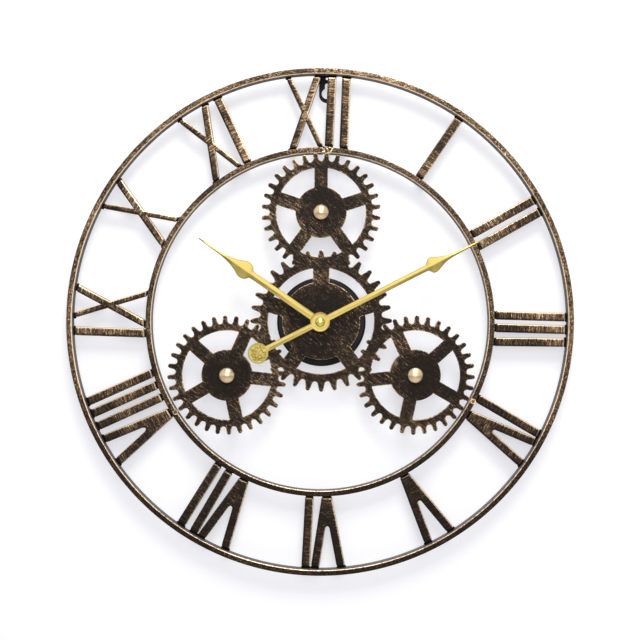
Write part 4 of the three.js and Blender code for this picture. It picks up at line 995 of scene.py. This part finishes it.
plate_shapes = [
    (clock_turned(outline, angle, place), [clock_turned(hole, angle, place) for hole in holes])
    for (outline, holes), angle, place in gears
]
for spot in TOP_MESH_FILLS:
    plate_shapes.append((circle(TOP_MESH_FILL_RADIUS, 24, PLATE_PLACE + Vector(spot)), []))
# Circles of corners within the hubs, so that these know how far they are from the cut edges
hub_circles = [
    [*circle(reach, 48, place), None]
    for hub, place in [*((SMALL_HUB, place) for place in gear_places), (LARGE_HUB, PLATE_PLACE)]
    for reach in HUB_CIRCLES if reach < hub
]
plate_mesh = sheet_metal(
    plate_shapes, lambda x, y: PLATE_FRONT, SHEET_SHOULDER, flat_back(PLATE_FRONT - PLATE_THICKNESS),
    hub_circles,
)
plate_mesh.materials.append(plate_iron)
fitted(settled("gear_plate_sheet", plate_mesh), "clock_frame", "bronzed_iron", "gear_plate")

# The tacks: spots of weld metal that hold one tooth of each small gear to the inner ring. Each lies
# from the tooth's tip out over the ring's face. The upper one is a scrawl of lumps, and the lower two
# are round spots, brown in the middle.
# Which of its gear's two outermost teeth is welded: 1 is the one clockwise of the middle
TACK_TURNS = (1, -1, -1)
TACK_REACH = 73.6
# Each lump's place across the tooth and outwards, its half length and width, and its turn in degrees
TACK_LUMPS = (
    (-4.8, 0.9, 3.6, 1.2, -28), (-4.0, -2.2, 3.2, 1.1, 22), (0.4, 0.2, 4.8, 1.3, -58),
    (4.6, -0.7, 4.8, 1.4, 58), (2.8, 3.2, 2.2, 1.1, 5), (-1.0, 3.4, 2.0, 1.0, 30), (1.2, -3.4, 2.2, 1.1, -5),
)
TACK_DEPTH, TACK_SINK = 1.3, 1.2
UNEVEN_SHARE, UNEVEN_WAVES = 0.3, 1.7
SPOT_PLACE, SPOT_RADIUS, SPOT_LUMPS = Vector((0.0, 1.4)), 2.5, 8
SPOT_LUMP = (1.5, 0.85)
SPOT_MIDDLE, SPOT_SINK = 2.2, 1.5
TACK_LIGHT = (0.8, 0.62, 0.4)
TACK_BROWN = (0.2, 0.12, 0.06)
# A noise's span and the distances from an edge over which the tone changes
TINT_SPAN, SHADED_EDGE = (0.38, 0.6), (0.2, 1.4)


def cast_metal(name, color, rough, bump_strength, darker=0.7, pit_scale=1400.0, edge_shade=None):
    """Bare, plated or gold-painted metal with fine pits, its tone uneven down to darker. Where the mesh
    keeps edge_distance, edge_shade is the tone of its edges."""
    material, tree = blank_material(name)
    place = object_place(tree)
    fine = grain(tree, place, pit_scale, rough=0.7)
    soft = grain(tree, place, 90.0)
    mixed = worked(tree, "MULTIPLY", worked(tree, "ADD", fine, soft), 0.5)
    tint = blended(tree, ramp(tree, mixed, *TINT_SPAN), tuple(part * darker for part in color), color)
    if edge_shade:
        distance = add(tree, "ShaderNodeAttribute", attribute_name="edge_distance").outputs["Fac"]
        tint = toned(tree, tint, ramp(tree, distance, *SHADED_EDGE, edge_shade, 1.0))
    shader = add(tree, "ShaderNodeBsdfPrincipled", {
        "Base Color": tint,
        "Metallic": 1.0,
        "Roughness": ramp(tree, soft, *NOISE_SPAN, rough * 0.8, rough * 1.25),
        "Normal": bumped(tree, bump_strength, 0.0002, fine),
    })
    surface(tree, shader.outputs[0])
    return material


def lump_of_weld(mesh, place, length, width, degrees, sink, slot=0):
    """Adds to the bmesh a long, flattened and uneven drop of weld metal, its middle below the plate's
    front by sink."""
    turn = Matrix.Rotation(math.radians(degrees), 3, "Z")
    for vert in bmesh.ops.create_icosphere(mesh, subdivisions=3, radius=1.0)["verts"]:
        uneven = 1 + UNEVEN_SHARE * noise.noise(vert.co * UNEVEN_WAVES + Vector((*place, 0)))
        spread = Vector((vert.co.x * length, vert.co.y * width, vert.co.z * TACK_DEPTH)) * uneven
        vert.co = turn @ spread + Vector((*place, PLATE_FRONT - sink))
        for face in vert.link_faces:
            face.material_index = slot


spot_turns = [math.tau * number / SPOT_LUMPS for number in range(SPOT_LUMPS)]
spot_ring = [
    (*polar(SPOT_RADIUS, turn, SPOT_PLACE), *SPOT_LUMP, math.degrees(turn) + 90) for turn in spot_turns
]
tacks = bmesh.new()
for place, angle, side in zip(gear_places, SMALL_GEAR_ANGLES, TACK_TURNS):
    clock = angle + side * 180 / TEETH
    if angle:
        middle = clock_turned([SPOT_PLACE + Vector((0.0, TACK_REACH))], clock, place)[0]
        lump_of_weld(tacks, middle, SPOT_MIDDLE, SPOT_MIDDLE, 0.0, SPOT_SINK, slot=1)
    for across, out, length, width, degrees in spot_ring if angle else TACK_LUMPS:
        spot = clock_turned([Vector((across, TACK_REACH + out))], clock, place)[0]
        lump_of_weld(tacks, spot, length, width, degrees - clock, TACK_SINK)
tack_mesh = bpy.data.meshes.new("weld_tacks")
tacks.to_mesh(tack_mesh)
tacks.free()
tack_mesh.materials.append(cast_metal("tack_metal", TACK_LIGHT, 0.35, 0.5, darker=0.35, pit_scale=900.0))
tack_mesh.materials.append(cast_metal("tack_brown", TACK_BROWN, 0.5, 0.5, darker=0.4, pit_scale=900.0))
fitted(settled("plate_weld_tacks", tack_mesh, 60), "clock_frame", "bronzed_iron")

# The bosses: turned brass rivets with domed heads, plated a copper gold, through the small gears'
# middles. Each one's tail is spread behind the plate.
BOSS_RADIUS = 8.8
BOSS_SEAT = 23.1
BOSS_SKIRT = 3.3
BOSS_TOP = 30.5
BOSS_RIM_DEGREES = 48.0
BOSS_STEM = 2.5
BOSS_TAIL_RADIUS = 4.0
BOSS_TAIL_TIP = 2.8
BOSS_TAIL_REAR, BOSS_TAIL_FRONT = 19.8, 21.0
BOSS_CHAMFER = 0.3
COPPER_GOLD = (0.78, 0.59, 0.37)


def turned(name, profile, steps, material, centre=(0.0, 0.0)):
    """A body of revolution about a line square to the wall. The profile's points are (radius, height)."""
    turns = [math.tau * number / steps for number in range(steps)]
    corners = [(*polar(radius, turn, centre), height) for radius, height in profile for turn in turns]
    faces = []
    for row in range(0, (len(profile) - 1) * steps, steps):
        for this in range(steps):
            after = (this + 1) % steps
            faces.append((row + this, row + after, row + steps + after, row + steps + this))
    mesh = bpy.data.meshes.new(name)
    mesh.from_pydata(corners, [], faces)
    mesh.materials.append(material)
    return settled(name, faces_out(mesh))


def dome(radius, base, top, rim_degrees=90.0, steps=12):
    """A profile from the dome's rim, where it is that steep, to its top."""
    turns = [math.radians(90 + rim_degrees * (i / steps - 1)) for i in range(steps + 1)]
    first, lowest = math.cos(turns[0]), math.sin(turns[0])
    across, up = radius / first, (top - base) / (1 - lowest)
    return [(across * math.cos(turn), base + up * (math.sin(turn) - lowest)) for turn in turns]


boss_metal = cast_metal("copper_gold_plating", COPPER_GOLD, 0.25, 0.3, darker=0.75)
boss_profile = [
    (0, BOSS_TAIL_REAR), (BOSS_TAIL_TIP, BOSS_TAIL_REAR),
    (BOSS_TAIL_RADIUS, BOSS_TAIL_FRONT), (BOSS_STEM, BOSS_TAIL_FRONT),
    (BOSS_STEM, BOSS_SEAT), (BOSS_RADIUS - BOSS_CHAMFER, BOSS_SEAT), (BOSS_RADIUS, BOSS_SEAT + BOSS_CHAMFER),
    *dome(BOSS_RADIUS, BOSS_SEAT + BOSS_SKIRT, BOSS_TOP, BOSS_RIM_DEGREES),
]
for number, place in enumerate(gear_places, start=1):
    boss = turned(f"gear_boss_{number}_turned", boss_profile, 48, boss_metal, place)
    fitted(boss, "clock_frame", "boss_brass", f"gear_boss_{number}")

# The movement's housing: a round pan pressed from thin steel and sprayed glossy black, its rim on the
# wall. It hides the movement from the front.
HOUSING_RADIUS = 52.5
HOUSING_DEPTH = 21.0
HOUSING_WALL = 1.2
HOUSING_CORNER = 3.0
HOUSING_CHAMFER = 0.2
HOUSING_BORE = 4.15
SHAFT_PLACE = (1.5, 0.0)
HOUSING_BLACK = (0.008, 0.007, 0.0065)


def round_shoulder(radius, height, corner, steps):
    """A quarter round from a profile's side up to its face, in place of the corner there."""
    return [point[:] for point in arc(corner, 0.0, math.pi / 2, steps, (radius - corner, height - corner))]


housing_paint = painted("housing_black", HOUSING_BLACK, 0.2, 700.0, 0.1, gloss=0.1)
inside = HOUSING_RADIUS - HOUSING_WALL
under = HOUSING_DEPTH - HOUSING_WALL
housing_profile = [
    (HOUSING_BORE, HOUSING_DEPTH),
    *round_shoulder(HOUSING_RADIUS, HOUSING_DEPTH, HOUSING_CORNER, 6)[::-1],
    (HOUSING_RADIUS, HOUSING_CHAMFER), (HOUSING_RADIUS - HOUSING_CHAMFER, 0.0), (inside, 0.0),
    *round_shoulder(inside, under, HOUSING_CORNER - HOUSING_WALL, 4),
    (HOUSING_BORE, under), (HOUSING_BORE, HOUSING_DEPTH),
]
housing = turned("movement_housing_pan", housing_profile, 128, housing_paint, SHAFT_PLACE)
fitted(housing, "clock_frame", "bronzed_iron", "movement_housing")

# The hanger: a black steel strap with a keyhole, welded behind the outer ring near twelve. The clock
# hangs there from a nail.
HANGER_X = 8.3
HANGER_HALF = 9.5
HANGER_TOP = 296.0
HANGER_REAR = 6.7
HANGER_FRONT = 8.7
NAIL_HEAD_RADIUS, NAIL_HEAD_HEIGHT = 6.4, 272.6
SLOT_HALF, SLOT_TOP = 2.5, 285.0
LOWER_CENTRE = 271.05
SMALL_HOLE_RADIUS, SMALL_HOLE_HEIGHT = 1.5, 290.4
HANGER_BLACK = (0.006, 0.006, 0.009)

hanger_paint = painted("hanger_black", HANGER_BLACK, 0.42, 900.0, 0.3, gloss=0.06)
meet = math.asin(SLOT_HALF / NAIL_HEAD_RADIUS)
hanger_outline = [
    Vector((HANGER_X + HANGER_HALF, HANGER_TOP)), Vector((HANGER_X - HANGER_HALF, HANGER_TOP)),
    *arc(HANGER_HALF, math.pi, math.tau, 40, (HANGER_X, LOWER_CENTRE)),
]
keyhole = [
    *arc(SLOT_HALF, 0.0, math.pi, 20, (HANGER_X, SLOT_TOP - SLOT_HALF)),
    *arc(NAIL_HEAD_RADIUS, math.pi / 2 + meet, math.tau * 1.25 - meet, 44, (HANGER_X, NAIL_HEAD_HEIGHT)),
]
small_hole = circle(SMALL_HOLE_RADIUS, 20, (HANGER_X, SMALL_HOLE_HEIGHT))
hanger_mesh = sheet_metal(
    [(hanger_outline, [keyhole, small_hole])], lambda x, y: HANGER_FRONT, SHEET_SHOULDER[:4],
    flat_back(HANGER_REAR),
)
hanger_mesh.materials.append(hanger_paint)
fitted(settled("hanger_strap", hanger_mesh), "clock_frame", "hanger_black", "hanger_plate")

# The movement: a quartz movement in a square case of black plastic, two halves snapped together. Its
# wheels, stepping motor and circuit board are the CAD's own, hidden in the case, and get the finish of
# white acetal, brass, steel, ferrite, copper wire and green board.
CASE_ARRIS, ARRIS_ANGLE = 0.4, 40
CASE_BLACK = (0.034, 0.034, 0.036)
RUBBER_BLACK = (0.012, 0.012, 0.012)
TURNED_BRASS = (0.79, 0.60, 0.29)
PLAIN_STEEL = (0.66, 0.67, 0.69)
ACETAL_WHITE = (0.76, 0.74, 0.68)
FERRITE_GREY = (0.09, 0.09, 0.10)
COPPER_WIRE = (0.62, 0.25, 0.10)
WIRES_EACH_METRE = 4000.0
BOARD_GREEN = (0.03, 0.15, 0.06)


def clad(material, *nodes):
    """Gives those CAD nodes, whose shape is right, that material."""
    for node in nodes:
        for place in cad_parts[node].material_slots:
            place.material = material


def softened(name, node, arris, material):
    """A copy of a CAD node with its sharp edges rounded."""
    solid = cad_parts[node].data
    mesh = bpy.data.meshes.new(name)
    corners = [on_wall.inverted() @ vert.co for vert in solid.vertices]
    mesh.from_pydata(corners, [], [face.vertices[:] for face in solid.polygons])
    faces_out(mesh)

    def bevelled(start):
        bevel = start.modifiers.new("arris", "BEVEL")
        bevel.width = arris
        bevel.segments = 2
        bevel.limit_method = "ANGLE"
        bevel.angle_limit = math.radians(ARRIS_ANGLE)

    mesh = applied(mesh, bevelled)
    mesh.materials.append(material)
    return settled(name, mesh, ARRIS_ANGLE)


def wound_wire(name, color):
    """Enamelled wire wound in close turns along the coil, which lies across the movement. Its colour is
    darker in the grooves between the turns, which is painted shade.
    """
    material, tree = blank_material(name)
    place = object_place(tree)
    x = add(tree, "ShaderNodeSeparateXYZ", {0: place}).outputs["X"]
    turns = worked(tree, "SINE", worked(tree, "MULTIPLY", x, math.tau * WIRES_EACH_METRE))
    shader = add(tree, "ShaderNodeBsdfPrincipled", {
        # Painted shade: the colour darkens in the grooves between the turns
        "Base Color": toned(tree, color, ramp(tree, turns, -1.0, 0.4, 0.35, 1.0)),
        "Metallic": 0.8,
        "Roughness": ramp(tree, grain(tree, place, 500.0), *NOISE_SPAN, 0.25, 0.4),
        "Normal": bumped(tree, 0.6, 0.0002, turns),
    })
    surface(tree, shader.outputs[0])
    return material


case_plastic = painted("case_black_plastic", CASE_BLACK, 0.5, 1500.0, 0.4)
rubber = painted("gasket_black_rubber", RUBBER_BLACK, 0.8, 1100.0, 0.5, gloss=0.3)
brass = cast_metal("turned_brass", TURNED_BRASS, 0.26, 0.15)
steel = cast_metal("plain_steel", PLAIN_STEEL, 0.3, 0.15, darker=0.8)
acetal = painted("white_acetal", ACETAL_WHITE, 0.45, 800.0, 0.1, spread=0.06)
ferrite = painted("sintered_ferrite", FERRITE_GREY, 0.5, 1600.0, 0.6)
board = painted("board_green_mask", BOARD_GREEN, 0.35, 1200.0, 0.2, coat=0.4)
clad(acetal, "seconds_wheel", "third_wheel", "intermediate_wheel", "idler_wheel", "hour_wheel")
clad(ferrite, "rotor")
clad(brass, "centre_wheel")
clad(steel, "minute_pipe", "stator", "crystal", "battery_contact_positive", "battery_contact_negative")
clad(wound_wire("copper_winding", COPPER_WIRE), "coil")
clad(board, "circuit_board")
clad(rubber, "rubber_gasket")
clad(case_plastic, "set_knob")
for node in ("rear_case", "front_case"):
    case = softened(f"{node}_moulding", node, CASE_ARRIS, case_plastic)
    fitted(case, "clock_frame", "case_black", node)


# The washer and the nut: turned brass, a flat washer and a hexagon nut with rounded corners. The nut is
# screwed on the movement's shaft and clamps it to the plate.
WASHER_RADIUS, WASHER_REAR, WASHER_FRONT = 8.0, 23.1, 23.9
WASHER_REAR_ROUND, WASHER_FRONT_ROUND = 0.15, 0.2
NUT_RADIUS, NUT_REAR, NUT_FRONT, NUT_CORNER = 6.6, 24.2, 26.7, 0.5
NUT_SHOULDER, NUT_BACK = ((0.0, 0.35), (0.35, 0.0)), ((0.0, NUT_REAR + 0.2), (0.35, NUT_REAR))
SHAFT_BORE = 4.15

washer_profile = [
    (SHAFT_BORE, WASHER_REAR),
    (WASHER_RADIUS - WASHER_REAR_ROUND, WASHER_REAR), (WASHER_RADIUS, WASHER_REAR + WASHER_REAR_ROUND),
    (WASHER_RADIUS, WASHER_FRONT - WASHER_FRONT_ROUND), (WASHER_RADIUS - WASHER_FRONT_ROUND, WASHER_FRONT),
    (SHAFT_BORE, WASHER_FRONT), (SHAFT_BORE, WASHER_REAR),
]
washer = turned("shaft_washer_turned", washer_profile, 64, brass, SHAFT_PLACE)
fitted(washer, "clock_frame", "turned_brass", "shaft_washer")
hexagon = rounded_corners(circle(NUT_RADIUS, 6, SHAFT_PLACE), NUT_CORNER)
nut_shapes = [(hexagon, [circle(SHAFT_BORE, 32, SHAFT_PLACE)])]
nut_mesh = sheet_metal(nut_shapes, lambda x, y: NUT_FRONT, NUT_SHOULDER, NUT_BACK)
nut_mesh.materials.append(brass)
fitted(settled("shaft_nut_hexagon", nut_mesh), "clock_frame", "turned_brass", "shaft_nut")

# The shaft's thread: the case's front tube is moulded with a fine thread for the nut. The ridge winds
# round it from the nut's front to the tube's top.
SHAFT_RADIUS, SHAFT_TOP = 4.0, 30.9
THREAD_PITCH, THREAD_HEIGHT, THREAD_SINK = 0.75, 0.28, 0.1

thread_tree, given, named = geometry_tree("shaft_thread", {
    "Turns": "Float", "Radius": "Float", "Length": "Float", "Ridge": "Float", "Place": "Vector",
    "Material": "Material",
})
helix = add(thread_tree, "GeometryNodeCurveSpiral", {
    "Resolution": 32, "Rotations": given["Turns"], "Start Radius": given["Radius"],
    "End Radius": given["Radius"], "Height": given["Length"],
})
ridge = add(thread_tree, "GeometryNodeCurvePrimitiveCircle", {"Resolution": 6, "Radius": given["Ridge"]})
wound = add(thread_tree, "GeometryNodeCurveToMesh", {
    "Curve": helix.outputs[0], "Profile Curve": ridge.outputs[0], "Fill Caps": True,
})
end_tree(thread_tree, shifted(thread_tree, wound.outputs[0], given["Place"]), given["Material"])
thread_length = SHAFT_TOP - NUT_FRONT - 4 * THREAD_HEIGHT
thread = grown("shaft_thread", thread_tree, named, {
    "Turns": thread_length / THREAD_PITCH, "Radius": SHAFT_RADIUS - THREAD_SINK, "Length": thread_length,
    "Ridge": THREAD_HEIGHT, "Place": (*SHAFT_PLACE, NUT_FRONT + 2 * THREAD_HEIGHT), "Material": case_plastic,
}, sharp_degrees=50)
fitted(thread, "clock_frame", "case_black")

# The set knob's ribs: fine ridges moulded round the knob at the case's back, for the fingers that set
# the hands.
KNOB_RADIUS, KNOB_DEPTH, KNOB_RIBS, RIB_RADIUS = 6.0, 1.6, 44, 0.3
RIB_SINK, RIB_SHORTER = 0.05, 0.3

rib_tree, given, named = geometry_tree("knob_ribs", {
    "Ribs": "Int", "Reach": "Float", "Rib": "Float", "Depth": "Float", "Place": "Vector",
    "Material": "Material",
})
round_knob = add(rib_tree, "GeometryNodeMeshCircle", {"Vertices": given["Ribs"], "Radius": given["Reach"]})
rib = add(rib_tree, "GeometryNodeMeshCylinder", {
    "Vertices": 8, "Radius": given["Rib"], "Depth": given["Depth"],
})
ribs = add(rib_tree, "GeometryNodeInstanceOnPoints", {
    "Points": round_knob.outputs[0], "Instance": rib.outputs[0],
})
end_tree(rib_tree, shifted(rib_tree, ribs.outputs[0], given["Place"]), given["Material"])
knob_low, knob_high = (on_wall.inverted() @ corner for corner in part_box("set_knob"))
knob_place = (knob_low + knob_high) / 2
knob_place.z = min(knob_low.z, knob_high.z) + KNOB_DEPTH / 2
ribs = grown("set_knob_ribs", rib_tree, named, {
    "Ribs": KNOB_RIBS, "Reach": KNOB_RADIUS - RIB_SINK, "Rib": RIB_RADIUS, "Depth": KNOB_DEPTH - RIB_SHORTER,
    "Place": tuple(knob_place), "Material": case_plastic,
})
fitted(ribs, "setting", "case_black")

# The battery: one AA cell in the case's open bay, a steel can in a plain plastic sleeve that is shrunk
# over its edges. Both are drawn about a line square to the wall and then laid along the bay.
BATTERY_RADIUS, SLEEVE_EDGE, SLEEVE_REAR = 7.25, 0.5, 0.12
CAN_RADIUS, NUB_RADIUS, NUB_LENGTH = 6.6, 2.7, 1.0
FRONT_LIP, REAR_LIP = 1.2, 0.6
SLEEVE_BLUE = (0.06, 0.20, 0.33)

battery_low, battery_high = (on_wall.inverted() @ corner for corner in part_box("battery"))
battery_place = (battery_low + battery_high) / 2
battery_end = abs(battery_high.x - battery_low.x) / 2
shoulder_end = battery_end - NUB_LENGTH
sleeve_rear = SLEEVE_REAR - battery_end
front_round = round_shoulder(BATTERY_RADIUS, shoulder_end, SLEEVE_EDGE, 4)
rear_round = [(radius, sleeve_rear + shoulder_end - height) for radius, height in front_round[::-1]]
sleeve_profile = [
    (CAN_RADIUS - REAR_LIP, sleeve_rear), *rear_round, *front_round, (CAN_RADIUS - FRONT_LIP, shoulder_end),
    (CAN_RADIUS - FRONT_LIP, shoulder_end - 0.2), (CAN_RADIUS, shoulder_end - 0.3),
    (CAN_RADIUS, 0.4 - battery_end), (CAN_RADIUS - REAR_LIP, 0.3 - battery_end),
    (CAN_RADIUS - REAR_LIP, sleeve_rear),
]
# With the small steps and rounds of a drawn can, at its flat end, its shoulder and its nub
can_profile = [
    (0.0, -battery_end), (CAN_RADIUS - 1.2, -battery_end), (CAN_RADIUS - 0.8, 0.25 - battery_end),
    (CAN_RADIUS - 0.1, 0.5 - battery_end), (CAN_RADIUS - 0.1, shoulder_end - 0.5),
    (NUB_RADIUS + 0.6, shoulder_end - 0.35), (NUB_RADIUS, shoulder_end - 0.1),
    (NUB_RADIUS, battery_end - 0.3), (NUB_RADIUS - 0.3, battery_end), (0.0, battery_end),
]
sleeve_plastic = painted("battery_sleeve_blue", SLEEVE_BLUE, 0.3, 300.0, 0.1, coat=0.3, spread=0.12)
sleeve = turned("battery_sleeve", sleeve_profile, 64, sleeve_plastic)
can = turned("battery_can", can_profile, 48, steel)
lying = Matrix.Translation(battery_place) @ Matrix.Rotation(math.radians(90), 4, "Y")
for piece in (sleeve, can):
    piece.data.transform(on_wall @ lying @ on_wall.inverted())
fitted(sleeve, "clock_frame", "cell_wrap", "battery")
fitted(can, "clock_frame", "plain_steel")

# The hands: spade hands pressed from thin sheet metal, each with a ridge along its middle so that it
# shows two facets, and painted pale gold. The minute hand's tail ends in a domed disc.
MINUTE_ANGLE, HOUR_ANGLE = 63.2, 304.6
HOUR_REAR, HOUR_REACH, HOUR_BAR, HOUR_BORE, HOUR_STUB = 31.5, 171.9, 4.3, 2.65, 5.0
MINUTE_REAR, MINUTE_REACH, MINUTE_BAR, MINUTE_BORE = 35.164, 219.2, 3.5, 1.75
# Half widths of the blades against the distance from the tip
MINUTE_BLADE = (
    (0, 0.6), (14, 1.0), (33, 1.6), (48, 2.3), (56, 3.6), (62.5, 5.9), (68.5, 8.6), (72, 9.3),
    (75.5, 8.4), (79, 4.2),
)
HOUR_BLADE = (
    (0, 0.7), (26, 1.5), (35, 2.1), (44, 3.5), (54, 6.6), (59, 9.0), (63, 10.4), (67, 10.3),
    (71, 8.6), (74, 4.8),
)
BLADE_FOOT = 2.0
HAND_EDGE = 0.5
RIDGE_BASE, RIDGE_SHARE, RIDGE_ROUND = 0.55, 0.085, 0.9
RIDGE_STEPS, TIP_MARGIN = 60, 0.05
HUB_RADIUS, HUB_FACE, HUB_RIM = 11.4, 1.2, 0.25
TAIL_REACH, TAIL_DISC, TAIL_DOME, TAIL_RIM = 80.7, 12.0, 0.8, 0.3
# How far in from their edges the hub's and the disc's rims stand, and where they have corners
HUB_RIM_BAND, TAIL_RIM_BAND = (1.7, 0.9), (1.9, 1.1)
HUB_INSETS, TAIL_INSETS = (0.5, 1.1, 1.7, 2.3), (0.5, 1.1, 1.9, 4, 7, 9.5)
# The ridge rises between these shares of the hub's and the disc's radius
HUB_RIDGE_SHARES, TAIL_RIDGE_SHARES = (0.8, 1.3), (0.95, 1.4)
DISC_STEPS = 72
ON_THE_EDGE = 1e-6
HAND_SHOULDER = ((0.0, 0.2), (0.2, 0.0))
HAND_GOLD = (0.4, 0.312, 0.094)


def smooth_line(points, steps=6):
    """The points, with others between them on a smooth curve through them all."""
    line = [np.array(point, dtype=float) for point in points]
    line = [2 * line[0] - line[1], *line, 2 * line[-1] - line[-2]]
    done = []
    for before, start, end, after in zip(line, line[1:], line[2:], line[3:]):
        for share in np.arange(steps) / steps:
            done.append(0.5 * (
                2 * start + (end - before) * share
                + (2 * before - 5 * start + 4 * end - after) * share ** 2
                + (3 * start - before - 3 * end + after) * share ** 3
            ))
    return [*done, line[-2]]


def eased(value, low, high):
    """Nought below low and one above high, easily between them."""
    share = min(1.0, max(0.0, (value - low) / (high - low)))
    return share * share * (3 - 2 * share)


def hand(node, body, angle, rear, reach, bar, blade, bore, tail):
    """One hand, drawn pointing up from the dial's middle and then turned to its hour. A tail that
    reaches beyond the hub ends in the disc."""
    half_widths = [(reach - from_tip, half) for from_tip, half in smooth_line(blade)]
    half_widths += [(half_widths[-1][0] - BLADE_FOOT, bar), (-tail, bar)]
    alongs, halves = np.array(half_widths).T[:, ::-1]
    side = [Vector((half, along)) for along, half in half_widths]
    hole = circle(bore, 32)
    shapes = [([Vector((-corner.x, corner.y)) for corner in side] + side[::-1], [hole])]
    shapes.append((circle(HUB_RADIUS, DISC_STEPS), [hole]))
    ridge_alongs = np.linspace(reach - TIP_MARGIN, -tail, RIDGE_STEPS)
    creases = [[(across, along) for along in ridge_alongs] for across in (-RIDGE_ROUND, 0, RIDGE_ROUND)]
    creases += [arc(HUB_RADIUS - inset, 0.0, math.tau, DISC_STEPS) for inset in HUB_INSETS]
    has_disc = tail > HUB_RADIUS
    if has_disc:
        shapes.append((circle(TAIL_DISC, DISC_STEPS, (0, -tail)), []))
        for inset in TAIL_INSETS:
            creases.append(arc(TAIL_DISC - inset, 0.0, math.tau, DISC_STEPS, (0, -tail)))

    def face(x, y):
        half = np.interp(y, alongs, halves)
        out, from_tail = math.hypot(x, y), math.hypot(x, y + tail)
        ridge = (RIDGE_BASE + RIDGE_SHARE * half) * max(0.0, 1 - abs(x) / half)
        ridge *= eased(out, *(HUB_RADIUS * share for share in HUB_RIDGE_SHARES))
        if has_disc:
            ridge *= eased(from_tail, *(TAIL_DISC * share for share in TAIL_RIDGE_SHARES))
        height = HAND_EDGE + ridge
        if out <= HUB_RADIUS + ON_THE_EDGE:
            rim = HUB_RIM * eased(out, *(HUB_RADIUS - inset for inset in HUB_RIM_BAND))
            height = max(height, HUB_FACE + (rim if abs(x) > half else 0.0))
        if has_disc and from_tail <= TAIL_DISC + ON_THE_EDGE:
            rim = TAIL_RIM * eased(from_tail, *(TAIL_DISC - inset for inset in TAIL_RIM_BAND))
            dome_height = TAIL_DOME * (1 - (from_tail / TAIL_DISC) ** 2)
            height = HAND_EDGE + dome_height + (rim if from_tail < TAIL_DISC else 0.0)
        return rear + height

    mesh = sheet_metal(shapes, face, HAND_SHOULDER, flat_back(rear), creases)
    mesh.transform(Matrix.Rotation(-math.radians(angle), 4, "Z"))
    mesh.materials.append(hand_gold)
    fitted(settled(f"{node}_blade", mesh), body, "hand_gold", node)


hand_gold = cast_metal("hand_gold", HAND_GOLD, 0.34, 0.2, darker=0.86, edge_shade=0.72)
hand(
    "hour_hand", "hour_work", HOUR_ANGLE, HOUR_REAR, HOUR_REACH, HOUR_BAR, HOUR_BLADE, HOUR_BORE, HOUR_STUB,
)
hand(
    "minute_hand", "minute_work", MINUTE_ANGLE, MINUTE_REAR, MINUTE_REACH, MINUTE_BAR, MINUTE_BLADE,
    MINUTE_BORE, TAIL_REACH,
)

# The tail disc's face: the dome is struck with a rough texture, here low drops strewn over it at
# random, each sunk in the dome.
DROPS, DROP_LEAST, DROP_MOST, DROP_HEIGHT, DROP_SEED = 75, 0.8, 1.7, 0.7, 7
DROP_WIDTH_SHARE, DROP_SEAT_SHARE, DROP_MARGIN = 0.7, 0.7, 2.6

drop_tree, given, named = geometry_tree("struck_face", {
    "Reach": "Float", "Count": "Float", "Least": "Float", "Most": "Float", "Height": "Float",
    "Seed": "Int", "Place": "Vector", "Material": "Material",
})
disc_size = {"Vertices": 48, "Radius": given["Reach"]}
disc = add(drop_tree, "GeometryNodeMeshCircle", disc_size, fill_type="NGON").outputs[0]
spots = add(drop_tree, "GeometryNodeDistributePointsOnFaces", {
    "Mesh": disc, "Density": given["Count"], "Seed": given["Seed"],
}).outputs[0]
drop_length = random_number(drop_tree, given["Least"], given["Most"], given["Seed"])
drop_width = worked(drop_tree, "MULTIPLY", drop_length, DROP_WIDTH_SHARE)
drop_size = {"X": drop_length, "Y": drop_width, "Z": given["Height"]}
drop_turn = {"Z": random_number(drop_tree, 0.0, math.tau, given["Seed"])}
drops = add(drop_tree, "GeometryNodeInstanceOnPoints", {
    "Points": spots,
    "Instance": round_drop(drop_tree, 1.0),
    "Scale": add(drop_tree, "ShaderNodeCombineXYZ", drop_size).outputs[0],
    "Rotation": add(drop_tree, "ShaderNodeCombineXYZ", drop_turn).outputs[0],
}).outputs[0]
end_tree(drop_tree, shifted(drop_tree, drops, given["Place"]), given["Material"])
struck_gold = cast_metal("struck_gold", HAND_GOLD, 0.3, 0.2, darker=0.8)
struck_reach = TAIL_DISC - DROP_MARGIN
tail_place = clock_turned([Vector((0.0, -TAIL_REACH))], MINUTE_ANGLE)[0]
struck_face = grown("minute_hand_struck_face", drop_tree, named, {
    "Reach": struck_reach, "Count": DROPS / (math.pi * struck_reach ** 2), "Least": DROP_LEAST,
    "Most": DROP_MOST, "Height": DROP_HEIGHT, "Seed": DROP_SEED,
    "Place": (*tail_place, MINUTE_REAR + HAND_EDGE + TAIL_DOME * DROP_SEAT_SHARE), "Material": struck_gold,
}, sharp_degrees=60)
fitted(struck_face, "minute_work", "hand_gold")

# The cap nut: a small domed nut of polished brass, screwed on the minute pipe's end to hold the minute
# hand.
CAP_RADIUS, CAP_REAR, CAP_FLANGE, CAP_TOP, CAP_BORE_TOP = 5.4, 36.664, 37.864, 41.464, 38.2
CAP_CHAMFER = 0.2
CAP_GOLD = (0.74, 0.66, 0.17)

cap_gold = cast_metal("cap_gold", CAP_GOLD, 0.12, 0.1, darker=0.5, pit_scale=700.0)
cap_profile = [
    (0, CAP_BORE_TOP), (MINUTE_BORE, CAP_BORE_TOP), (MINUTE_BORE, CAP_REAR),
    (CAP_RADIUS - CAP_CHAMFER, CAP_REAR), (CAP_RADIUS, CAP_REAR + CAP_CHAMFER),
    *dome(CAP_RADIUS, CAP_FLANGE, CAP_TOP),
]
fitted(turned("cap_nut_dome", cap_profile, 48, cap_gold), "minute_work", "cap_brass", "cap_nut")

low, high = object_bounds()
{"cad": [list(cad_low), list(cad_high)], "visual": [list(low), list(high)]}
